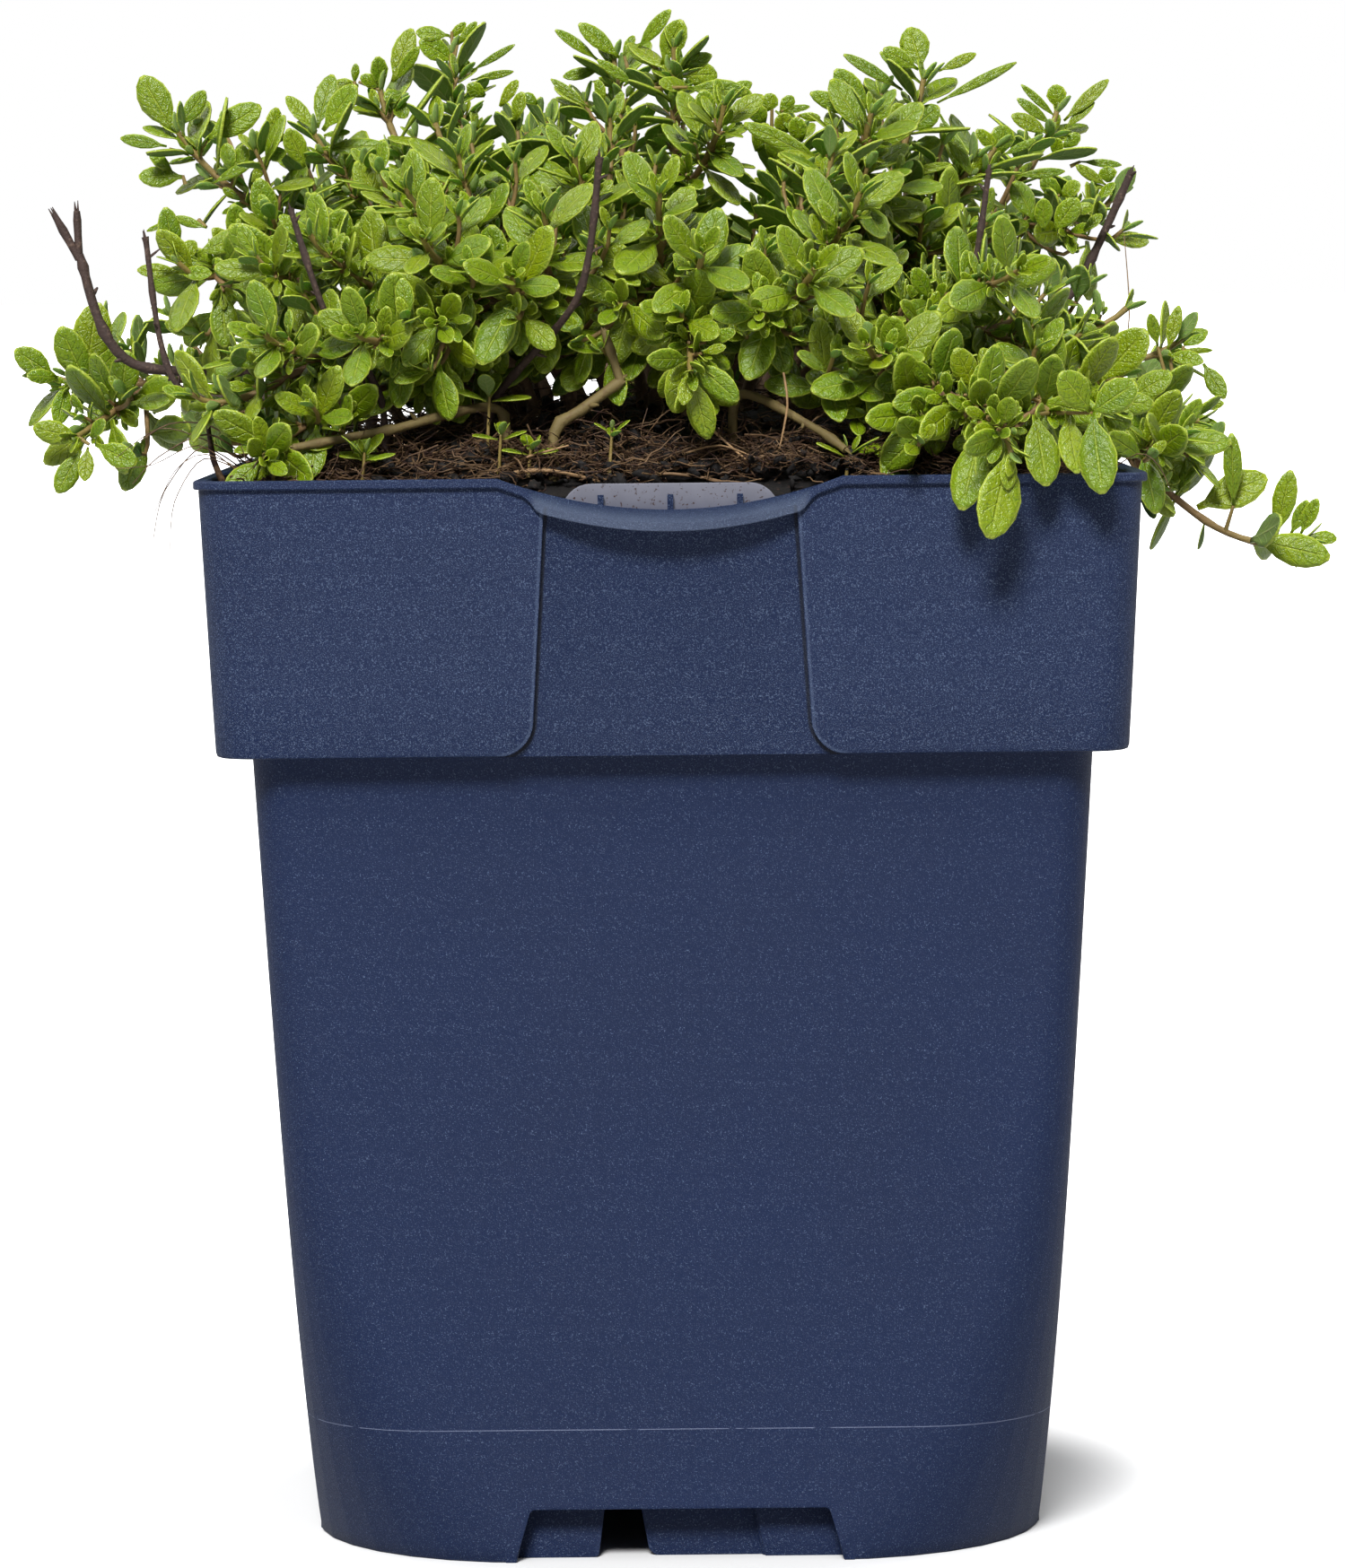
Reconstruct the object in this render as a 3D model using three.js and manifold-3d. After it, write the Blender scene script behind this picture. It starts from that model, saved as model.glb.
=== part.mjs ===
// Potted thyme: a square moulded plastic herb pot, filled with peat, with a low bush of thyme in it.
// Millimetres, +Z up, origin at the centre of the pot's foot, front of the pot towards -Y.
import * as THREE from "three";
import { mergeVertices } from "three/addons/utils/BufferGeometryUtils.js";
import Module from "manifold-3d";

const wasm = await Module();
wasm.setup();

// ---- Driving dimensions -------------------------------------------------------------------------

const RIM_Z = 129; // height of the pot
const WALL = 1.2; // moulded wall
const SEAT = 0.3; // clearance between pieces that rest on each other
const CORNER_STEPS = 4; // facets of each rounded corner in plan
const OUTSIDE = 60; // further from the middle than any face of the pot

const FOOT = {
  half: 44.1, // half width at the ground
  wall: 1.4,
  ceiling: 6.6, // underside of the raised floor
  taper: 0.0543, // growth of the half width per mm of height
};
const CORNER = { top: 4.5, growth: 22.5, power: 3.5 }; // corner radius, which grows towards the foot
const COLLAR = { bottom: 96.6, halfBottom: 53.4, halfTop: 54.9, corner: 5 };
const LIP = { half: 55.5, tall: 1.05, corner: 5.6 };
const PANEL = { deep: 1, halfTop: 14.7, halfBottom: 16.4, round: 4, under: 124.9 }; // recess in the collar
const DIP = { half: 20, deep: 3.75 }; // dip of the rim, front and back
const SCOOP = { half: 15.5, tall: 2.5, proud: 2.1 }; // the lip of the dip, bulging outwards
const TONGUE = { half: 12.7, top: 128.2, round: 3.5, setBack: 4.2, thick: 1 }; // holds a label upright
const RIBS = { places: [-8.1, 0, 8.1], half: 0.3, low: 121, high: 127.2, proud: 0.5 }; // on the tongue
const PAD = { half: 19.5, top: 123.5 }; // backing of the recess, inside the collar
// Drainage notch in each side of the foot; its middle panel stands a step further back than the others.
const NOTCH = { halfTop: 17.7, halfBottom: 19.6, setBack: 3.2, step: 1 };
const DRAIN = { radius: 3.5, offset: 24 };

const SOIL = { half: 53, edge: 126.1, rise: 10.5, lump: 0.8 }; // height at the wall, mound and lumps
const MOUND_SHARES = [0.97, 0.84, 0.68, 0.5, 0.32, 0.14]; // where the rings of its surface lie
const PEG = 6.5; // how far a stem stands in its hole in the soil
const HOLE_CLEARANCE = 0.35;
const HOLE_DEPTH = PEG + 1;
const SIDES = 4; // the stems of thyme are square, and each pair of leaves sits on two opposite faces
const START = 1.6; // height above the soil at which a stem begins to lean

const STEM = { base: 0.9, tip: 0.5, forkBase: 0.65 }; // half thicknesses
const NODE_HALF = 0.45; // half of the stretch of stem that a leaf's stalk takes up
const INTERNODE = 11; // longest straight stretch of a stem
const FAN_CENTRE = new THREE.Vector3(0, 0, 116); // the shoots point away from here
const ROOT_SHARE = 0.42; // a shoot's root lies this share of the way out to its tip
const ROOT_SPACING = 4.4;
const ROOT_REACH = 43; // no root lies further out than this

// Leaf pairs of a shoot, from its tip downwards: distance from the tip, leaf length, angle to the stem.
const PAIRS = [
  { back: 0.45, length: 5, pitch: 26 },
  { back: 2.6, length: 7.8, pitch: 52 },
  { back: 6.4, length: 9.4, pitch: 66 },
  { back: 12.5, length: 9, pitch: 74 },
];
const FORK_PAIRS = 3; // pairs on a stem that forks, and on its side shoot
const FORK_STARTS = [0.55, 0.45, 0.65, 0.35, 0.75]; // how far up its stem a side shoot may begin
const ATTEMPTS = 200; // roots tried for one shoot
const BLADE = { widthShare: 0.52, thick: 0.8, droop: 0.3 };
const STALK_SHARE = 0.16; // the part of a leaf that may touch its own stem

// The shoots that stand out, by the place of their tips; a fork is a side shoot of the same stem.
// aim: where the tip points, unless it simply points away from the middle of the bush.
const SHOOTS = [
  { tip: [-77, -5, 141], aim: [-0.9, -0.2, 0.4], fork: { tip: [-72, -17, 133.5], aim: [-0.5, -0.8, -0.3] } },
  { tip: [-60, -5, 170.5], fork: { tip: [-59, -22, 154.5] } },
  { tip: [-43, -10, 170], fork: { tip: [-49, -33, 155] } },
  { tip: [-36, 15, 176], aim: [-0.2, 0.1, 1], fork: { tip: [-45, 24, 163] } },
  { tip: [-27.5, 30, 181], aim: [0, 0.2, 1], fork: { tip: [-18, 34, 171] } },
  { tip: [-6.5, 10, 179.5], aim: [-0.1, 0, 1], fork: { tip: [-15, 18, 172] } },
  { tip: [1, -1, 180.5], aim: [0, -0.2, 1], fork: { tip: [7, -12, 173] } },
  { tip: [32, 5, 176.5], aim: [0.2, 0, 1], fork: { tip: [25, -9, 172] } },
  { tip: [41, 10, 168], fork: { tip: [31, 19, 166] } },
  { tip: [50, 30, 173], aim: [0.3, 0.2, 1], fork: { tip: [57, 25, 162] } },
  { tip: [41, -46, 152.5], aim: [0.3, -0.9, 0.3], fork: { tip: [49, -34, 145] } },
  { tip: [52, -46, 137], aim: [0.5, -0.8, 0.1], fork: { tip: [44, -55, 136], aim: [0.3, -0.9, -0.2] } },
  { tip: [64, 5, 144], fork: { tip: [65, -9, 134], aim: [1, -0.1, 0.1] } },
  { tip: [78, -10, 119.5], aim: [0.94, 0, 0.3], rise: 24, lean: 1.1, reach: 19 },
  { tip: [36, -58, 134.5], aim: [0.2, -0.9, -0.3], fork: { tip: [39, -63, 131.5], aim: [0.1, -0.6, -0.8] } },
  { tip: [29, -53, 136], aim: [-0.2, -0.9, 0.2], fork: { tip: [23, -50, 144], aim: [-0.2, -0.9, 0.3] } },
  { tip: [17, -51, 153], aim: [0.2, -0.8, 0.5], fork: { tip: [10.5, -49, 148], aim: [-0.1, -0.9, 0.1] } },
  { tip: [23, -32, 162], fork: { tip: [20, -20, 167] } },
  { tip: [4, -51, 155], aim: [0.1, -0.8, 0.6], fork: { tip: [2.5, -52, 141], aim: [0, -0.9, -0.4] } },
  { tip: [-28.5, -47, 157], aim: [-0.1, -0.9, 0.5], fork: { tip: [-27, -48, 147], aim: [0, -0.9, 0.1] } },
  { tip: [-18, -51, 152.5], aim: [0.1, -0.9, 0.4], fork: { tip: [-14.5, -44, 160] } },
  { tip: [-47, -49, 146], aim: [-0.3, -0.8, 0.5], fork: { tip: [-56, -43, 139] } },
  { tip: [-36, -53, 146], aim: [-0.1, -0.9, 0.3] },
  { tip: [-31, -34, 163], fork: { tip: [-25, -28, 167] } },
  { tip: [-42, -41, 157.5] },
  { tip: [-11, -29, 166.5], fork: { tip: [-7, -15, 171.5] } },
  { tip: [-1, -41, 162], fork: { tip: [-6, -45, 149], aim: [-0.2, -0.9, 0.2] } },
  { tip: [-47, -51, 131.5], aim: [0.3, -0.9, 0.1] },
];
// The shoots of the far half follow a golden-angle spread over the same dome.
const FAR = {
  count: 20,
  golden: 137.508,
  first: -10, // degrees, from the right-hand side round the back
  sweep: 198,
  across: 67,
  up: 53,
  from: 122,
  lowest: 9,
  highest: 74,
  forkTurn: 0.24,
  forkDrop: 8,
};

// Bare woody stems, from the soil to the broken end: points and half thicknesses.
const BARE_STEMS = [
  { name: "bare_stem_forked", half: 0.7, route: [[-38, -14, 140], [-64.6, -20, 142.3], [-71, -20, 155.5]],
    prongs: [[[-71, -20, 155], [-74, -20, 160.5]], [[-71, -20, 155], [-71.2, -20, 160.8]]] },
  { name: "bare_stem_left", half: 0.42, route: [[-43, -27, 137], [-58.5, -30, 139.7], [-62.2, -30, 157.5]] },
  { name: "bare_stem_front_left", half: 0.45, route: [[-34, -38, 138], [-40, -44, 148], [-44, -45, 160.5]] },
  { name: "bare_stem_tall", half: 0.5, route: [[-21, -36, 137], [-10.5, -46, 150], [-7.8, -50, 166]] },
  { name: "bare_stem_cut", half: 0.75, route: [[-13.5, -43, 134], [-10.5, -42.5, 136.5], [-5.6, -42, 140]],
    prongs: [[[-5.6, -42, 139.6], [-7.6, -42, 146]]] },
  { name: "bare_stem_right", half: 0.45, route: [[31, -27, 137], [36, -30, 151], [38.3, -30, 164.5]] },
  { name: "bare_stem_far_right", half: 0.6, route: [[44, 14, 139], [52.3, 15, 152], [58.5, 15, 165]] },
  { name: "runner_left", half: 0.6, route: [[-20, -38.5, 136.6], [-33, -44, 134.5], [-44, -46.5, 132.6]] },
  { name: "runner_right", half: 0.6, route: [[8, -37, 138], [16.5, -44, 134.6], [20.5, -47.4, 131.8]] },
  { name: "bare_stem_green", half: 0.6, route: [[22.5, -39, 138], [19, -41, 141], [16.5, -42.5, 144]] },
];

// ---- Solids -------------------------------------------------------------------------------------

function closedSolid(positions, index) {
  return new wasm.Manifold(
    new wasm.Mesh({
      numProp: 3,
      vertProperties: new Float32Array(positions),
      triVerts: new Uint32Array(index),
    }),
  );
}

function solidOf(geometry) {
  geometry.deleteAttribute("normal");
  geometry.deleteAttribute("uv");
  const merged = mergeVertices(geometry, 1e-4);
  return closedSolid(merged.attributes.position.array, merged.index.array);
}

function geometryOf(solid) {
  const mesh = solid.getMesh();
  const geometry = new THREE.BufferGeometry();
  geometry.setAttribute("position", new THREE.BufferAttribute(mesh.vertProperties, mesh.numProp));
  geometry.setIndex(new THREE.BufferAttribute(mesh.triVerts, 1));
  geometry.computeVertexNormals();
  return geometry;
}

// Rings of points, each turning anticlockwise seen from ahead, joined and capped into one closed solid.
function loft(rings) {
  const count = rings[0].length;
  const last = (rings.length - 1) * count;
  const index = [];
  for (let ring = 0; ring < rings.length - 1; ring++) {
    for (let i = 0; i < count; i++) {
      const a = ring * count + i;
      const b = ring * count + ((i + 1) % count);
      index.push(a, b, b + count, a, b + count, a + count);
    }
  }
  for (let i = 1; i < count - 1; i++) {
    index.push(0, i + 1, i);
    index.push(last, last + i, last + i + 1);
  }
  return closedSolid(rings.flat(2), index);
}

// A flat outline in X and Z, given thickness along Y from -near to -far, then leant back with the wall.
function upright(outline, near, far, lean = 0) {
  const geometry = new THREE.ExtrudeGeometry(outline, {
    depth: far - near,
    bevelEnabled: false,
    curveSegments: 4,
  });
  geometry.rotateX(Math.PI / 2).translate(0, -near, 0);
  const place = geometry.attributes.position;
  for (let i = 0; i < place.count; i++) {
    place.setY(i, place.getY(i) - lean * (place.getZ(i) - COLLAR.bottom));
  }
  return solidOf(geometry);
}

const quad = (corners) => new THREE.Shape(corners.map(([x, z]) => new THREE.Vector2(x, z)));
const block = (left, right, low, high) => quad([[left, low], [right, low], [right, high], [left, high]]);
const turned = (solid, degrees) => solid.rotate([0, 0, degrees]);

// ---- Pot ----------------------------------------------------------------------------------------

const bodyHalf = (z) => FOOT.half + FOOT.taper * z;
const bodyCorner = (z) => CORNER.top + CORNER.growth * Math.max(0, 1 - z / COLLAR.bottom) ** CORNER.power;
const LIP_Z = RIM_Z - LIP.tall;
const COLLAR_LEAN = (COLLAR.halfTop - COLLAR.halfBottom) / (LIP_Z - COLLAR.bottom);
const collarHalf = (z) => COLLAR.halfBottom + COLLAR_LEAN * (z - COLLAR.bottom);
const FLOOR_TOP = FOOT.ceiling + WALL;
const LEDGE_TOP = COLLAR.bottom + WALL;
const BODY_HEIGHTS = [14, 21, 30, 42, 60];
const INSIDE_HEIGHTS = [14, 30, 60];

// The pot's plan at one height: a square with rounded corners.
function planRing(half, corner, z) {
  const reach = half - corner;
  const ring = [];
  for (let quarter = 0; quarter < 4; quarter++) {
    const cx = quarter === 0 || quarter === 3 ? reach : -reach;
    const cy = quarter < 2 ? reach : -reach;
    for (let i = 0; i <= CORNER_STEPS; i++) {
      const angle = ((quarter + i / CORNER_STEPS) * Math.PI) / 2;
      ring.push([cx + corner * Math.cos(angle), cy + corner * Math.sin(angle), z]);
    }
  }
  return ring;
}

const bodyRing = (z, inset) => planRing(bodyHalf(z) - inset, bodyCorner(z) - inset, z);
const collarRing = (z, inset) => planRing(collarHalf(z) - inset, COLLAR.corner - inset, z);

// Height of the rim along the dip, and of the lip that edges it.
function dipTop(x) {
  return RIM_Z - DIP.deep * Math.max(0, 1 - (x / DIP.half) ** 2);
}

const DIP_STATIONS = [-19.2, -17.5, -15.5, -13, -9, -4.5, 0, 4.5, 9, 13, 15.5, 17.5, 19.2];

function scoop() {
  const face = collarHalf(RIM_Z);
  return loft(
    DIP_STATIONS.map((x) => {
      const tall = Math.abs(x) > SCOOP.half ? LIP.tall + 0.1 : SCOOP.tall;
      const bulge = SCOOP.proud * Math.max(0, 1 - (x / SCOOP.half) ** 2);
      const front = -(LIP.half + Math.max(0.12, bulge));
      const top = dipTop(x) + 0.06;
      return [
        [x, -face, top],
        [x, front, top - tall / 2],
        [x, front, top - tall],
        [x, -(face - WALL / 2), top - tall],
        [x, -(face - WALL / 2), top],
      ];
    }),
  );
}

function tongue() {
  const { half, top, round } = TONGUE;
  const outline = new THREE.Shape();
  outline.moveTo(-half, LEDGE_TOP - WALL / 2);
  outline.lineTo(half, LEDGE_TOP - WALL / 2);
  outline.lineTo(half, top - round);
  outline.absarc(half - round, top - round, round, 0, Math.PI / 2);
  outline.lineTo(-half + round, top);
  outline.absarc(-half + round, top - round, round, Math.PI / 2, Math.PI);
  const face = COLLAR.halfBottom - TONGUE.setBack;
  let solid = upright(outline, face - TONGUE.thick, face, COLLAR_LEAN);
  for (const x of RIBS.places) {
    const rib = block(x - RIBS.half, x + RIBS.half, RIBS.low, RIBS.high);
    solid = solid.add(upright(rib, face - TONGUE.thick / 2, face + RIBS.proud, COLLAR_LEAN));
  }
  return solid;
}

function panelOutline() {
  const { halfTop, halfBottom, round, under } = PANEL;
  const bottom = COLLAR.bottom;
  const outline = new THREE.Shape();
  outline.moveTo(-halfTop, under);
  outline.lineTo(-halfBottom, bottom + round);
  outline.quadraticCurveTo(-halfBottom, bottom, -halfBottom - round, bottom - 0.5);
  outline.lineTo(halfBottom + round, bottom - 0.5);
  outline.quadraticCurveTo(halfBottom, bottom, halfBottom, bottom + round);
  outline.lineTo(halfTop, under);
  return outline;
}

function dipOutline() {
  const outline = new THREE.Shape();
  outline.moveTo(-DIP.half, RIM_Z + 1);
  for (const x of [-DIP.half, ...DIP_STATIONS, DIP.half]) outline.lineTo(x, dipTop(x));
  outline.lineTo(DIP.half, RIM_Z + 1);
  return outline;
}

// Front of the collar: recessed panel with its backing, dipped rim with its lip, and the label tongue.
function dressCollar(pot, degrees) {
  const backing = block(-PAD.half, PAD.half, LEDGE_TOP - WALL / 2, PAD.top);
  const behind = COLLAR.halfBottom - PANEL.deep;
  const pad = upright(backing, behind - WALL, behind + PANEL.deep / 2, COLLAR_LEAN);
  const cut = upright(panelOutline(), behind, OUTSIDE, COLLAR_LEAN);
  const dip = upright(dipOutline(), COLLAR.halfBottom - 3, OUTSIDE);
  return pot
    .add(turned(pad, degrees))
    .subtract(turned(cut, degrees))
    .subtract(turned(dip, degrees))
    .add(turned(scoop(), degrees))
    .add(turned(tongue(), degrees));
}

// One side's drainage notch: the ring is cut away and set-back panels with one open slot stand behind it.
function notchFoot(pot, degrees) {
  const { halfTop, halfBottom, setBack, step } = NOTCH;
  const top = FOOT.ceiling - 0.15;
  const over = FOOT.ceiling + WALL / 2; // the panels run up into the floor
  const front = FOOT.half - setBack;
  const cut = quad([[-halfBottom - 0.3, -1], [halfBottom + 0.3, -1], [halfTop, top], [-halfTop, top]]);
  const panels = [
    [quad([[-halfBottom - 0.6, 0], [-9.7, 0], [-8.8, over], [-halfTop - 0.6, over]]), front],
    [quad([[-2.4, 0], [10.4, 0], [9, over], [-4.9, over], [-4, 1.4]]), front - step],
    [quad([[9.8, 0], [10.8, 0], [9.5, over], [8.5, over]]), front - step / 2],
    [quad([[10.1, 0], [halfBottom + 0.6, 0], [halfTop + 0.6, over], [8.7, over]]), front],
  ].map(([outline, face]) => upright(outline, face - WALL, face));
  const returns = [-1, 1].map((side) => {
    const [low, high] = [halfBottom, halfTop].map((half) => [side * (half - 0.15), side * (half + WALL)]);
    const strip = quad([[low[0], 0], [low[1], 0], [high[1], over], [high[0], over]]);
    return upright(strip, front - WALL / 2, FOOT.half - 0.2);
  });
  const opened = pot.subtract(turned(upright(cut, FOOT.half - FOOT.wall - 1, OUTSIDE), degrees));
  return [...panels, ...returns].reduce((solid, piece) => solid.add(turned(piece, degrees)), opened);
}

function makePot() {
  const outer = loft([
    ...[0, 3.5, 8, ...BODY_HEIGHTS, COLLAR.bottom].map((z) => bodyRing(z, 0)),
    collarRing(COLLAR.bottom, 0),
    collarRing(LIP_Z, 0),
    planRing(LIP.half, LIP.corner, LIP_Z),
    planRing(LIP.half, LIP.corner, RIM_Z),
  ]);
  const inside = loft([
    ...[FLOOR_TOP, ...INSIDE_HEIGHTS, LEDGE_TOP].map((z) => bodyRing(z, WALL)),
    collarRing(LEDGE_TOP, WALL),
    collarRing(RIM_Z + 1, WALL),
  ]);
  const under = loft([bodyRing(-1, FOOT.wall), bodyRing(FOOT.ceiling, FOOT.wall)]);
  let pot = outer.subtract(inside).subtract(under);
  for (const degrees of [0, 180]) pot = dressCollar(pot, degrees);
  for (const degrees of [0, 90, 180, 270]) pot = notchFoot(pot, degrees);
  const { radius, offset } = DRAIN;
  const corners = [[1, 1], [-1, 1], [-1, -1], [1, -1]].map(([x, y]) => [x * offset, y * offset]);
  for (const [x, y] of [[0, 0], ...corners]) {
    const hole = new THREE.CylinderGeometry(radius, radius, 3 * WALL, 12).rotateX(Math.PI / 2);
    pot = pot.subtract(solidOf(hole.translate(x, y, FOOT.ceiling + WALL / 2)));
  }
  return pot;
}

// ---- Soil ---------------------------------------------------------------------------------------

// Height of the soil: a low mound with lumps, level with the wall at its edge.
function soilTop(x, y) {
  const out = Math.min(1, (Math.abs(x / SOIL.half) ** 4 + Math.abs(y / SOIL.half) ** 4) ** 0.25);
  const lumps = Math.sin(0.31 * x + 1.3) * Math.cos(0.27 * y + 0.6) + 0.7 * Math.sin(0.53 * x - 0.47 * y);
  return SOIL.edge + SOIL.rise * (1 - out * out) + SOIL.lump * lumps * (1 - out ** 6);
}

function makeSoil(roots) {
  const gap = WALL + SEAT;
  const moundRing = (share) => {
    const half = (collarHalf(SOIL.edge) - gap) * share;
    const corner = half * (1 - 0.9 * share ** 2);
    return planRing(half, Math.max(corner, COLLAR.corner - gap), 0).map(([x, y]) => [x, y, soilTop(x, y)]);
  };
  let soil = loft([
    ...[FLOOR_TOP + SEAT, ...INSIDE_HEIGHTS, LEDGE_TOP + SEAT].map((z) => bodyRing(z, gap)),
    collarRing(LEDGE_TOP + SEAT, gap),
    collarRing(SOIL.edge - 1, gap),
    ...MOUND_SHARES.map(moundRing),
  ]);
  // Room for the label tongues and for the backing of the collar's panels.
  const tall = [LEDGE_TOP, SOIL.edge + SOIL.rise];
  const box = (half) => block(-half, half, ...tall);
  const pocket = COLLAR.halfBottom - TONGUE.setBack - TONGUE.thick - SEAT;
  const besidePad = COLLAR.halfBottom - PANEL.deep - WALL - SEAT;
  for (const degrees of [0, 180]) {
    soil = soil
      .subtract(turned(upright(box(TONGUE.half + SEAT + 0.1), pocket, OUTSIDE, COLLAR_LEAN), degrees))
      .subtract(turned(upright(box(PAD.half + SEAT + 0.1), besidePad, OUTSIDE, COLLAR_LEAN), degrees));
  }
  for (const root of roots) {
    const radius = (root.radius + HOLE_CLEARANCE) * Math.SQRT2;
    const hole = new THREE.CylinderGeometry(radius, radius, 2 * HOLE_DEPTH, SIDES).rotateX(Math.PI / 2);
    const middle = soilTop(root.x, root.y);
    soil = soil.subtract(solidOf(hole.translate(root.x, root.y, middle)));
  }
  return soil;
}

// ---- Stems and leaves ---------------------------------------------------------------------------

// Seeded draws: the same bush every time.
let seed = 1;
function reseed(value) {
  seed = value * 7919 + 17;
}
function draw(low = 0, high = 1) {
  seed = (seed * 1664525 + 1013904223) % 4294967296;
  return low + (high - low) * (seed / 4294967296);
}

const UP = new THREE.Vector3(0, 0, 1);
const radians = THREE.MathUtils.degToRad;

// Square rings round the points of a path, turned along it without twist.
function stemRings(points, radii) {
  let side = new THREE.Vector3(0.6, 0.8, 0);
  return points.map((centre, i) => {
    const ahead = points[Math.min(i + 1, points.length - 1)];
    const behind = points[Math.max(i - 1, 0)];
    const along = ahead.clone().sub(behind).normalize();
    side = side.clone().addScaledVector(along, -side.dot(along)).normalize();
    const other = along.clone().cross(side);
    const corners = Array.from({ length: SIDES }, (_, k) => {
      const angle = ((k + 0.5) * 2 * Math.PI) / SIDES;
      return centre
        .clone()
        .addScaledVector(side, radii[i] * Math.cos(angle))
        .addScaledVector(other, radii[i] * Math.sin(angle));
    });
    return { centre, along, corners };
  });
}

const tube = (points, radii) =>
  loft(stemRings(points, radii).map((ring) => ring.corners.map((corner) => corner.toArray())));

// The six free points of a leaf: its outline up the right side, round the tip and down the left, then
// the keel of its midrib underneath.
function bladePoints({ base, out, along, pitch, length }) {
  const right = along.clone().cross(out);
  const ahead = along.clone().multiplyScalar(Math.cos(pitch)).addScaledVector(out, Math.sin(pitch));
  const facing = along.clone().multiplyScalar(Math.sin(pitch)).addScaledVector(out, -Math.cos(pitch));
  const half = (length * BLADE.widthShare) / 2;
  const place = (u, v, w) =>
    base.clone().addScaledVector(ahead, u).addScaledVector(right, v).addScaledVector(facing, w);
  return [
    place(0.42 * length, half, 0),
    place(0.8 * length, 0.68 * half, 0),
    place(length, 0, -BLADE.droop),
    place(0.8 * length, -0.68 * half, 0),
    place(0.42 * length, -half, 0),
    place(0.45 * length, 0, -BLADE.thick),
  ];
}

// The faces of a leaf over the four corners of its stalk (0 to 3) and its six free points (4 to 9).
const LEAF_TOP = [[2, 3, 8], [2, 8, 4], [4, 8, 7], [4, 7, 5], [5, 7, 6]];
const LEAF_SIDES = [[1, 2, 4], [3, 0, 8]];
const LEAF_UNDER = [[0, 1], [1, 4], [4, 5], [5, 6], [6, 7], [7, 8], [8, 0]].map((edge) => [9, ...edge]);
const LEAF_FACES = [...LEAF_TOP, ...LEAF_SIDES, ...LEAF_UNDER];

// A leaf by itself, closed where it meets its stem.
function leafBody(face, points) {
  const corners = [...face, ...points.map((point) => point.toArray())];
  return closedSolid(corners.flat(), [...LEAF_FACES, [0, 3, 2], [0, 2, 1]].flat());
}

// A leaf swollen by a clearance, from a little way along it, to test what it would touch.
function bladeProbe(leaf, points) {
  const [right, , tip, , left, keel] = points;
  const middle = right.clone().lerp(left, 0.5);
  const above = middle.clone().addScaledVector(middle.clone().sub(keel).normalize(), SEAT);
  const stalk = leaf.base.clone().lerp(tip, STALK_SHARE);
  const corners = [...points.slice(0, 5), stalk, above, keel].map((point) =>
    point.clone().addScaledVector(point.clone().sub(middle).normalize(), SEAT),
  );
  const index = [];
  for (let i = 0; i < 6; i++) {
    const next = (i + 1) % 6;
    index.push(next, i, 6, i, next, 7);
  }
  return closedSolid(corners.flatMap((corner) => corner.toArray()), index);
}

// Everything placed so far, so that nothing grows through a neighbour.
const placed = [];

function boxOf(solid) {
  const { min, max } = solid.boundingBox();
  return new THREE.Box3(new THREE.Vector3(...min), new THREE.Vector3(...max));
}

function remember(owner, solid) {
  placed.push({ owner, solid, box: boxOf(solid) });
}

function clashes(solid, ...spared) {
  const box = boxOf(solid);
  return placed.some(
    (other) =>
      !spared.includes(other.owner) &&
      other.box.intersectsBox(box) &&
      other.solid.intersect(solid).volume() > 1e-7,
  );
}

function aimOf(shoot) {
  if (shoot.aim) return new THREE.Vector3(...shoot.aim).normalize();
  const away = new THREE.Vector3(...shoot.tip).sub(FAN_CENTRE).normalize();
  return away.addScaledVector(UP, 0.4).normalize();
}

// A leafy stem's path: straight out of its hole, then one smooth curve to the tip.
function mainCurve(root, shoot) {
  const tip = new THREE.Vector3(...shoot.tip);
  const span = tip.distanceTo(root);
  const outward = tip.clone().sub(root).setZ(0).normalize();
  const rising = UP.clone().addScaledVector(outward, shoot.lean ?? 0.35).normalize();
  const first = root.clone().addScaledVector(rising, shoot.rise ?? span * 0.38);
  const second = tip.clone().addScaledVector(aimOf(shoot), -(shoot.reach ?? span * 0.33));
  return new THREE.CubicBezierCurve3(root, first, second, tip);
}

function forkCurve(main, at, fork) {
  const start = main.getPoint(at);
  const tip = new THREE.Vector3(...fork.tip);
  const span = tip.distanceTo(start);
  const first = start.clone().addScaledVector(main.getTangent(at), span * 0.3);
  const second = tip.clone().addScaledVector(aimOf(fork), -span * 0.35);
  return new THREE.CubicBezierCurve3(start, first, second, tip);
}

// Where the rings of a stem stand along its curve, and which stretches bear a pair of leaves.
function stations(length, pairs) {
  const bearing = pairs
    .filter(({ back }) => back < length * 0.72)
    .map((pair) => ({ pair, low: length - pair.back - NODE_HALF, high: length - pair.back + NODE_HALF }))
    .reverse();
  const bare = Math.max(1, Math.round(bearing[0].low / INTERNODE));
  const marks = Array.from({ length: bare }, (_, i) => ({ at: (bearing[0].low * i) / bare }));
  for (const { pair, low, high } of bearing) marks.push({ at: low, pair }, { at: high });
  return marks;
}

function makeStem(curve, pairs, thickness, peg) {
  const length = curve.getLength();
  const marks = stations(length, pairs);
  const points = marks.map(({ at }) => curve.getPointAt(Math.min(1, at / length)));
  const radii = marks.map(({ at }) => THREE.MathUtils.lerp(thickness, STEM.tip, at / length));
  if (peg) {
    marks.unshift({});
    points.unshift(peg);
    radii.unshift(thickness);
  }
  return { marks, points, radii };
}

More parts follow.
